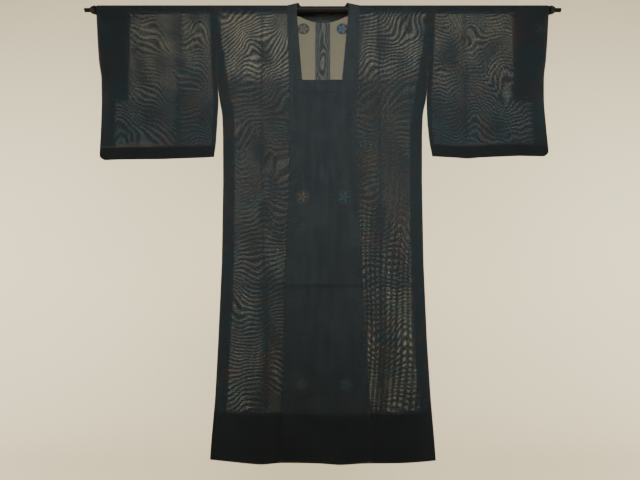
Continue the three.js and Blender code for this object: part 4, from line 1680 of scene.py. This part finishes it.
@dataclass
class NeckBand:
    """The doubled band round the square neck, mitred at the front corners, standing behind.

    The crossing is its free edge from the front over the rod and round the back neck, by the turn
    in degrees.
    """

    form: CoatForm
    depth: float = 226.0
    width: float = 37.0
    strip_columns: int = 14
    side_rows: int = 26
    side_top: float = 6.0
    corner_step: float = 8.0
    mitre_top: float = 180.0
    mitre_share: float = 0.75
    lift_drops: Span = (105.0, 200.0)
    turn_rows: int = 46
    seam_rise: float = 0.3
    columns: int = 9
    lining_half: float = 74.0
    lining_corner: float = 9.0
    lining_lowest: float = 33.0
    lining_lap: float = 1.0
    lining_least: float = 1.3
    lining_columns: int = 5
    lining_rows: int = 40
    crossing: Table = Table(
        ("turn", "edge", "y", "z"),
        (
            (0, 76.5, -13.1, 0),
            (22.5, 75.5, -14.0, 5.8),
            (45, 74, -12.4, 12.4),
            (67.5, 72.5, -7.9, 19.0),
            (90, 71, 0, 22.1),
            (112.5, 69, 4.5, 21.5),
            (135, 66.5, 8, 20),
            (157.5, 63.5, 11, 17.5),
            (180, 59, 13, 14.5),
            (205, 54, 14, 12.5),
            (230, 43, 14.6, 10.5),
            (250, 25, 14.9, 10),
            (270, 0, 15, 10),
        ),
        soften=5.0,
    )

    def on_front(self, x: Sequence[float], drops: Sequence[float], lift: float) -> Pair:
        """Returns an edge point and a seam point on the coat's front."""
        row = hang(self.form.body_depth, Face.FRONT, np.array(x), np.array(drops), lift)
        return row.points[0], row.points[1]

    def strip_rows(self, half: Half, lift: float) -> list[Pair]:
        """Returns the edge and seam points of the free strip along a front band's top.

        Args:
            half: The half of the coat that the strip belongs to.
            lift: How far outside the front it lies.

        Returns:
            The rows, from the free end to the mitred corner.
        """
        bottom = self.depth + self.width
        corner = half * float(NECK_EDGE.of(half, self.depth))
        seam = half * float(FRONT_SEAM.of(half, bottom))
        other = Half(-half)
        inset = UNDER_INSET if half is Half.RIGHT else OVER_INSET
        free = other * (float(FRONT_SEAM.of(other, self.depth)) - inset)
        shares = np.linspace(0, 1, self.strip_columns)
        ends = zip(lerp(free, corner, shares), lerp(free, seam, shares))
        return [self.on_front(pair, (self.depth, bottom), lift) for pair in ends]

    def half_rows(self, half: Half) -> list[Pair]:
        """Returns the rows of one half, from its free end to the middle of the back.

        Args:
            half: The half of the coat.

        Returns:
            Pairs of a point on the free edge and a point on the seam.
        """
        lift = OVER_LIFT if half is Half.LEFT else 0.0
        rows = self.strip_rows(half, lift)
        for drop in np.linspace(self.depth - self.corner_step, self.side_top, self.side_rows):
            raised = lift * float(ease(drop, *self.lift_drops))
            mitre = self.width * float(ease(drop, self.mitre_top, self.depth)) * self.mitre_share
            ends = NECK_EDGE.of(half, drop), FRONT_SEAM.of(half, drop + mitre)
            rows.append(self.on_front([half * float(x) for x in ends], (drop, drop + mitre), raised))
        for turn in np.linspace(0, 270, self.turn_rows):
            x, y, z = (float(self.crossing.read(key, turn)) for key in ("edge", "y", "z"))
            rows.append((np.array([half * x, y, z]), self.seam_point(half, float(turn))))
        return rows

    def seam_point(self, half: Half, turn: float) -> Array:
        """Returns a point of the seam: over the rod up to 180 degrees, then round the back neck."""
        start = float(FRONT_SEAM.of(half, 0.0))
        if turn <= 180:
            x = half * (start - NECK_EASE * float(ramp(turn - 90, 0, 90)))
            return bend(np.array([x]), 90 - turn, 0.0).points[0]
        along = math.radians(turn - 180)
        x = np.array([half * (start - NECK_EASE) * math.cos(along)])
        drop = np.array([NECK_DROP * math.sin(along) - self.seam_rise])
        return hang(self.form.body_depth, Face.BACK, x, drop, 0.0).points[0]

    def build(self, material: Material) -> Piece:
        """Builds the band as one flat strip that runs from free end to free end.

        Args:
            material: The doubled cloth.

        Returns:
            The piece.
        """
        left = self.half_rows(Half.LEFT)
        pairs = [*self.half_rows(Half.RIGHT), *reversed(left[:-1])]
        edge = np.stack([pair[0] for pair in pairs])
        seam = np.stack([pair[1] for pair in pairs])
        run = np.concatenate([[0], np.cumsum(np.linalg.norm(np.diff(edge, axis=0), axis=1))])
        shares = np.linspace(0, 1, self.columns)
        rows = []
        for near, far, place in zip(edge, seam, run):
            width = float(np.linalg.norm(far - near))
            flat = np.stack([shares * width, np.full_like(shares, place)], axis=-1)
            rows.append(Strip(lerp(near, far, shares[:, None]), flat))
        cloth = ClothMesh("gauze_neck_band")
        cloth.add_wall(rows, DOUBLED)
        return cloth.build(material)

    def build_lining(self, material: Material) -> Piece:
        """Builds the crescent inside the back neck.

        Args:
            material: The turned-in cloth.

        Returns:
            The piece.
        """
        shares = np.linspace(0, 1, self.lining_columns + 1)
        rows = []
        for x in np.linspace(-self.lining_half, self.lining_half, self.lining_rows + 1):
            half = Half.RIGHT if x < 0 else Half.LEFT
            seam_half = float(FRONT_SEAM.of(half, 0.0)) - NECK_EASE
            top = NECK_DROP * math.sqrt(1 - (x / seam_half) ** 2) - self.lining_lap
            fall = (self.lining_lowest - self.lining_corner) * (1 - (x / self.lining_half) ** 2)
            bottom = max(self.lining_corner + fall, top + self.lining_least)
            across, drop = np.full_like(shares, x), lerp(top, bottom, shares)
            rows.append(hang(self.form.body_depth, Face.BACK, across, drop, -TURN_STEP))
        cloth = ClothMesh("gauze_neck_lining")
        cloth.add_wall(rows, PLY)
        return cloth.build(material)


@dataclass(frozen=True)
class Layering:
    """How much light a panel lets through, by place: the numbers that its gauze reads."""

    moire: Moire
    profile: Table
    creases: Table
    inner_calm: float = 0.0
    calm_drops: Span = (760.0, 860.0)
    crease_spread: Span = (4.0, 13.0)
    crease_dark: Span = (0.75, 0.9)
    crease_blur: float = 6.0
    patch_wave: float = 85.0
    patch_stretch: float = 1.6
    patch_depth: float = 0.4
    fold_light: float = 0.3
    slack_range: Span = (0.25, 1.8)
    most_gleam: float = 1.2
    turned_share: float = 0.05
    behind_share: float = 0.165
    centre_width: float = 22.0
    centre_top: float = 20.0
    centre_ring: float = 9.0
    centre_waves: Span = (36.0, 14.0)
    centre_wander: float = 0.35
    centre_gleam: float = 0.55
    centre_shares: Span = (0.045, 0.24)

    def shade(self, half: Half, x: Array, drop: Array) -> Array:
        """Returns how the creases, the folds and the slack dim or lift the light.

        Args:
            half: The half of the coat.
            x: Across the coat.
            drop: Down the coat.

        Returns:
            A factor for the light that comes through.
        """
        from_crease = np.abs(x) - self.creases.of(half, drop)
        low = ease(drop, *self.calm_drops)
        spread = lerp(*self.crease_spread, low)
        shade = 1 - lerp(*self.crease_dark, low) * np.exp(-((from_crease / spread) ** 2))
        inner = 1 - ease(from_crease, -self.crease_blur, self.crease_blur)
        shade = shade * (1 - self.inner_calm * low * inner)
        ripple = Ripple(self.moire.seed + 3, self.patch_wave, stretch=self.patch_stretch)
        folds = fold_rise(x, drop, Face.FRONT)
        slack = 1 + self.patch_depth * ripple.at(x, drop) + self.fold_light * folds
        return shade * np.clip(slack, *self.slack_range)

    def swirl(self, x: Array, drop: Array) -> Array:
        """Returns the contours' phase in the strip down the middle of the back."""
        long, short = self.centre_waves
        wander = np.sin(drop / long)
        wander = wander + self.centre_wander * np.sin(drop / short + x / self.centre_ring)
        return (x / self.centre_ring) ** 2 / 2 + wander

    def store(self, piece: Piece, panel: BodyLength | Sleeve) -> None:
        """Stores the contours' phases and the shares of light on a panel's vertices.

        Args:
            piece: The panel's piece.
            panel: The panel, which knows where its turnings lie.
        """
        places = coordinates(piece)
        x, behind, drop = places[:, 0], places[:, 1] > 0, -places[:, 2]
        shade = self.shade(panel.half, x, drop)
        contour, cross = self.moire.phases(x, drop)
        centre = behind & (np.abs(x) < self.centre_width) & (drop > self.centre_top)
        turned = panel.is_turned(x, drop) & ~behind
        # gleam sets the painted glow of the light contours, none on turned or back cloth
        gleam = self.profile.read("gleam", drop) * np.clip(shade, 0, self.most_gleam)
        gleam = np.where(turned | behind, 0.0, gleam)
        values = {
            "behind": behind,
            # painted shade on the bottom turnings, which are also doubled cloth
            "painted_shade": drop > panel.bottom_turning_top(x),
            "contour_phase": np.where(centre, self.swirl(x, drop), contour),
            "cross_phase": cross,
            "cross": self.profile.read("cross", drop) * ~centre,
            "gleam": np.where(centre, self.centre_gleam, gleam),
        }
        for key, seam in zip(("dull", "bright"), self.centre_shares):
            front = np.where(turned, self.turned_share, self.profile.read(key, drop) * shade)
            values[key] = np.where(centre, seam, np.where(behind, self.behind_share, front))
        for key, value in values.items():
            store(piece, key, value)


@dataclass(frozen=True)
class Stitching:
    """Small hand stitches along seams and turnings, repeated by Geometry Nodes."""

    spacing: float = 6.5
    length: float = 2.2
    width: float = 0.5
    length_range: Span = (0.8, 1.2)
    seed: int = 5
    lift: float = 0.32
    band_lift: float = 0.1
    inset: float = 1.5
    hem_inset: float = 3.0
    bottom_inset: float = 2.0
    side_drops: Span = (330.0, 1140.0)
    band_drops: Span = (275.0, 1262.0)
    sleeve_reach: Span = (308.0, 622.0)
    hem_starts: Span = (2.0, 128.0)
    hem_end: float = 284.0
    facing_top: float = 16.0
    over_seam_lap: float = 0.5
    across_points: int = 40
    side_points: int = 90
    band_points: int = 110

    def runs(self, form: CoatForm) -> list[Array]:
        """Lists the lines that the stitches follow.

        Args:
            form: The coat's shape.

        Returns:
            The points of each line.
        """
        lines = []
        for half in Half:
            body = BodyLength(form=form, half=half)
            sleeve = Sleeve(form=form, half=half)
            facing_bottom = sleeve.facing_end - self.bottom_inset
            facing = np.linspace(self.facing_top, facing_bottom, self.across_points)
            side = np.linspace(*self.side_drops, self.side_points)
            band = np.linspace(*self.band_drops, self.band_points)
            edge = BODY_SIDE.of(half, side) - body.side_width(side) + self.inset
            for face in Face:
                start = self.hem_starts[face is Face.FRONT]
                hem_x = half * np.linspace(start, self.hem_end, self.across_points)
                hem = body.bottom_turning_top(hem_x) + self.hem_inset
                sleeve_x = half * np.linspace(*self.sleeve_reach, self.across_points)
                bottom = sleeve.bottom_turning_top(sleeve_x) + self.bottom_inset
                facing_x = half * (FACING_EDGE.of(half, facing) + self.inset)
                lines.extend((
                    (form.body_depth, face, hem_x, hem, self.lift),
                    (form.body_depth, face, half * edge, side, self.lift),
                    (form.sleeve_depth, face, sleeve_x, bottom, self.lift),
                    (form.sleeve_depth, face, facing_x, facing, self.lift),
                ))
            over = half is Half.LEFT
            lift = (OVER_LIFT if over else 0.0) + DOUBLED / 2 + self.band_lift
            inset = -self.over_seam_lap if over else OVER_INSET
            band_x = half * (FRONT_SEAM.of(half, band) - inset)
            lines.append((form.body_depth, Face.FRONT, band_x, band, lift))
        return [hang(*line).points for line in lines]

    def tree(self) -> Tree:
        """Builds the node tree that lays stitches along edges."""
        tree = bpy.data.node_groups.new("hand_stitches", "GeometryNodeTree")
        sockets = {
            "Lines": "Geometry",
            "Stitch Spacing": "Float",
            "Stitch Length": "Float",
            "Stitch Width": "Float",
            "Seed": "Int",
            "Thread": "Material",
        }
        for name, kind in sockets.items():
            tree.interface.new_socket(name, in_out="INPUT", socket_type=f"NodeSocket{kind}")
        tree.interface.new_socket("Stitches", in_out="OUTPUT", socket_type="NodeSocketGeometry")
        net = Net(tree)
        given = net.node("NodeGroupInput").outputs
        curve = net.node("GeometryNodeMeshToCurve")
        points = net.node("GeometryNodeCurveToPoints", mode="LENGTH")
        bead = net.node("GeometryNodeMeshIcoSphere")
        bead.inputs["Radius"].default_value = 0.5
        bead.inputs["Subdivisions"].default_value = 1
        chance = net.node("FunctionNodeRandomValue", data_type="FLOAT")
        for socket, value in zip(chance.inputs[2:4], self.length_range):
            socket.default_value = value
        length = net.math("MULTIPLY", chance.outputs[1], given["Stitch Length"])
        place = net.node("GeometryNodeInstanceOnPoints")
        real = net.node("GeometryNodeRealizeInstances")
        smooth = net.node("GeometryNodeSetShadeSmooth")
        finish = net.node("GeometryNodeSetMaterial")
        for socket, value in (
            (curve.inputs["Mesh"], given["Lines"]),
            (points.inputs["Curve"], curve.outputs[0]),
            (points.inputs["Length"], given["Stitch Spacing"]),
            (chance.inputs["Seed"], given["Seed"]),
            (place.inputs["Points"], points.outputs["Points"]),
            (place.inputs["Instance"], bead.outputs[0]),
            (place.inputs["Rotation"], points.outputs["Rotation"]),
            (place.inputs["Scale"], net.joined(*[given["Stitch Width"]] * 2, length)),
            (real.inputs[0], place.outputs[0]),
            (smooth.inputs["Geometry"], real.outputs[0]),
            (finish.inputs["Geometry"], smooth.outputs[0]),
            (finish.inputs["Material"], given["Thread"]),
            (net.node("NodeGroupOutput").inputs[0], finish.outputs[0]),
        ):
            net.feed(socket, value)
        return tree

    def build(self, form: CoatForm, thread: Material) -> Piece:
        """Lays the stitches and turns them into a plain mesh.

        Args:
            form: The coat's shape.
            thread: The thread's finish.

        Returns:
            The piece.
        """
        vertices, edges = [], []
        for line in self.runs(form):
            count = len(vertices)
            edges.extend((count + i, count + i + 1) for i in range(len(line) - 1))
            vertices.extend((line * MM).tolist())
        guide = bpy.data.meshes.new("stitch_lines")
        guide.from_pydata(vertices, edges, [])
        piece = add_object("silk_stitches", guide)
        modifier = piece.modifiers.new("hand_stitches", "NODES")
        modifier.node_group = self.tree()
        values = {
            "Stitch Spacing": self.spacing * MM,
            "Stitch Length": self.length * MM,
            "Stitch Width": self.width * MM,
            "Seed": self.seed,
            "Thread": thread,
        }
        for item in modifier.node_group.interface.items_tree:
            if item.name in values:
                modifier[item.identifier] = values[item.name]
        shown = piece.evaluated_get(bpy.context.evaluated_depsgraph_get())
        mesh = bpy.data.meshes.new_from_object(shown)
        piece.modifiers.clear()
        piece.data = mesh
        dress(piece, thread)
        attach(piece, BODY)
        log.info("stitches: %d faces", len(mesh.polygons))
        return piece


@dataclass
class Coat:
    """The whole coat: builds every cut piece and hides the solid that each one stands for."""

    form: CoatForm = field(default_factory=CoatForm)
    body_calm: dict[Half, float] = field(default_factory=lambda: {Half.RIGHT: 0.35, Half.LEFT: 0.0})
    sleeve_calm: float = 0.4
    sleeve_calm_drops: Span = (220.0, 300.0)
    right_spread: Span = (4.0, 16.0)
    left_spread: Span = (5.0, 6.0)

    def finish_piece(
        self,
        piece: Piece,
        node: str,
    ) -> None:
        """Ties a piece to the frame and hides the solid that it stands for.

        Args:
            piece: The piece.
            node: The solid that it stands for.
        """
        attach(piece, BODY)
        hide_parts(node)
        log.info("%s: %d faces", piece.name, len(piece.data.polygons))

    def build_half(self, half: Half, gauze: Material, facing: Material) -> None:
        """Builds a body length, its sleeve and the sleeve's facing.

        Args:
            half: The half of the coat.
            gauze: The sheer cloth.
            facing: The turned-in cloth.
        """
        side = half.name.lower()
        body = BodyLength(form=self.form, half=half)
        piece = body.build(gauze)
        calm = self.body_calm[half]
        Layering(BODY_MOIRE[half], BODY_LAYERS[half], BODY_CREASE, calm).store(piece, body)
        self.finish_piece(piece, f"body_{side}")
        sleeve = Sleeve(form=self.form, half=half)
        piece = sleeve.build(gauze)
        Layering(
            SLEEVE_MOIRE[half],
            SLEEVE_LAYERS,
            SLEEVE_FOLD,
            self.sleeve_calm,
            self.sleeve_calm_drops,
            self.left_spread if half is Half.LEFT else self.right_spread,
        ).store(piece, sleeve)
        self.finish_piece(piece, f"sleeve_{side}")
        piece = sleeve.build_facing(facing)
        self.finish_piece(piece, f"sleeve_facing_{side}")

    def build(self, effects: Effects) -> None:
        """Builds all pieces.

        Args:
            effects: The shared shader groups.
        """
        # Painted shade: the facings and lining inside the coat get a darker copy of the doubled
        # gauze's colours, and the standing collar a slightly darker one.
        inside = {"dark": colour(0.011, 0.014, 0.016), "light": colour(0.015, 0.018, 0.020)}
        collar_shade_tones = {"dark": colour(0.0165, 0.022, 0.0265), "light": colour(0.021, 0.0275, 0.032)}
        gauze, band, facing, lining, collar = (
            finish.build(effects)
            for finish in (
                GauzeFinish(),
                DoubledFinish("doubled_gauze", flowers=0.3),
                DoubledFinish("facing_gauze", alphas=(0.6, 0.7), **inside),
                DoubledFinish("lining_gauze", alphas=(0.92, 0.97), **inside),
                DoubledFinish("collar_gauze", alphas=(0.88, 0.95), **collar_shade_tones),
            )
        )
        for half in Half:
            self.build_half(half, gauze, facing)
        bands = FrontBands(self.form)
        for over, name in ((False, "under"), (True, "over")):
            piece = bands.build(over, band)
            self.finish_piece(piece, f"front_band_{name}")
        neck = NeckBand(self.form)
        self.finish_piece(neck.build(collar), "neck_band")
        piece = neck.build_lining(lining)
        self.finish_piece(piece, "neck_lining")
        Stitching().build(self.form, ThreadFinish().build(effects))


@dataclass(frozen=True)
class SoftLight:
    """A soft square light: places and size in metres, power in watts, the beam in degrees."""

    name: str
    place: Point
    aim: Point
    size: float
    power: float
    beam: float = 180.0
    tint: Point = (1.0, 0.975, 0.93)

    def build(self) -> None:
        """Adds the light, which the camera doesn't see."""
        data = bpy.data.lights.new(self.name, "AREA")
        data.shape = "SQUARE"
        data.size = self.size
        data.energy = self.power
        data.spread = math.radians(self.beam)
        data.color = self.tint
        lamp = add_object(self.name, data)
        lamp.location = self.place
        lamp.visible_camera = False
        heading = Vector(self.aim) - Vector(self.place)
        lamp.rotation_euler = heading.to_track_quat("-Z", "Y").to_euler()


@dataclass
class Studio:
    """The pale floor and backdrop, the soft lights, and the camera at the photo's angle."""

    floor: float = -1.85
    wall_distance: float = 3.3
    cove: float = 1.2
    half_width: float = 7.0
    near_edge: float = -7.0
    wall_top: float = 4.2
    tone: Colour = colour(0.74, 0.665, 0.46)
    shade: float = 0.96
    shade_noise: Span = (1.3, 2.0)
    roughness: float = 0.9
    lights: tuple[SoftLight, ...] = (
        SoftLight("key", (0.15, -2.6, 0.6), (0.03, 0.0, -0.36), 0.9, 8.0, beam=46),
        SoftLight("wall_wash_1", (-4.0, 0.0, -0.2), (0.0, 3.3, -0.1), 1.6, 285.0),
        SoftLight("wall_wash_3", (4.0, 0.0, -0.2), (0.0, 3.3, -0.1), 1.6, 285.0),
        SoftLight("back_fill", (-0.5, 2.7, 0.5), (0.0, 0.0, -0.4), 0.9, 6.0, beam=60),
    )
    focal_pixels: float = 502.0
    image_width: int = 640
    sensor: float = 36.0
    eye: Point = (-0.008, -1.3751, -0.8913)
    pitch: float = 8.35
    room: Colour = colour(1.0, 0.92, 0.68)
    room_light: float = 0.2
    room_seen: float = 1.0

    def build_stage(self) -> None:
        """Builds the floor, which sweeps up into the backdrop."""
        bend_from = self.wall_distance - self.cove
        profile = [(self.near_edge, self.floor), (bend_from, self.floor)]
        for angle in np.radians(np.linspace(6, 84, 14)):
            y = bend_from + self.cove * math.sin(angle)
            profile.append((y, self.floor + self.cove * (1 - math.cos(angle))))
        profile.append((self.wall_distance, self.floor + self.cove))
        profile.append((self.wall_distance, self.wall_top))
        vertices = [(x, y, z) for y, z in profile for x in (-self.half_width, self.half_width)]
        faces = [(2 * i, 2 * i + 1, 2 * i + 3, 2 * i + 2) for i in range(len(profile) - 1)]
        mesh = bpy.data.meshes.new("pale_floor")
        mesh.from_pydata(vertices, [], faces)
        mesh.shade_smooth()
        material, net, shader = blank_material("pale_floor")
        cloud = net.noise(net.position(), *self.shade_noise)
        toned = net.blend(cloud, darker(self.tone, self.shade), self.tone)
        net.feed(shader.inputs["Base Color"], toned)
        shader.inputs["Roughness"].default_value = self.roughness
        mesh.materials.append(material)
        add_object("pale_floor", mesh)

    def build_lights(self) -> None:
        """Builds the lights and the pale surroundings, which look brighter than they light."""
        for light in self.lights:
            light.build()
        world = bpy.data.worlds.new("pale_room")
        world.use_nodes = True
        net = Net(world.node_tree)
        back = world.node_tree.nodes["Background"].inputs
        back["Color"].default_value = self.room
        seen = net.node("ShaderNodeLightPath").outputs["Is Camera Ray"]
        strength = net.math("MULTIPLY_ADD", seen, self.room_seen, self.room_light)
        net.feed(back["Strength"], strength)
        bpy.context.scene.world = world

    def build_camera(self) -> None:
        """Builds the camera where the photograph was taken from."""
        data = bpy.data.cameras.new("camera")
        data.sensor_width = self.sensor
        data.lens = self.sensor * self.focal_pixels / self.image_width
        camera = add_object("camera", data)
        camera.location = self.eye
        camera.rotation_euler = Euler((math.radians(90 + self.pitch), 0, 0))
        bpy.context.scene.camera = camera


def dress_rod(frame: dict) -> None:
    """Gives the rod's solids their enamel, which is worn on the collars.

    Args:
        frame: The loaded frame.
    """
    enamel = EnamelFinish("rod_enamel").build()
    base, scuff = colour(0.020, 0.018, 0.016), colour(0.09, 0.08, 0.07)
    worn = EnamelFinish("collar_enamel", base, scuff, roughness=0.45).build()
    for name, node in frame["nodes"].items():
        if name.startswith("rod_"):
            dress(node, worn if "collar" in name else enamel)
            log.info("%s dressed", name)


def main() -> None:
    """Builds the scene around the frame."""
    logging.basicConfig(level=logging.INFO, format="%(name)s: %(message)s")
    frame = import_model()
    studio = Studio()
    studio.build_camera()
    studio.build_stage()
    studio.build_lights()
    effects = Effects()
    Coat().build(effects)
    dress_rod(frame)


if __name__ == "__main__":
    main()
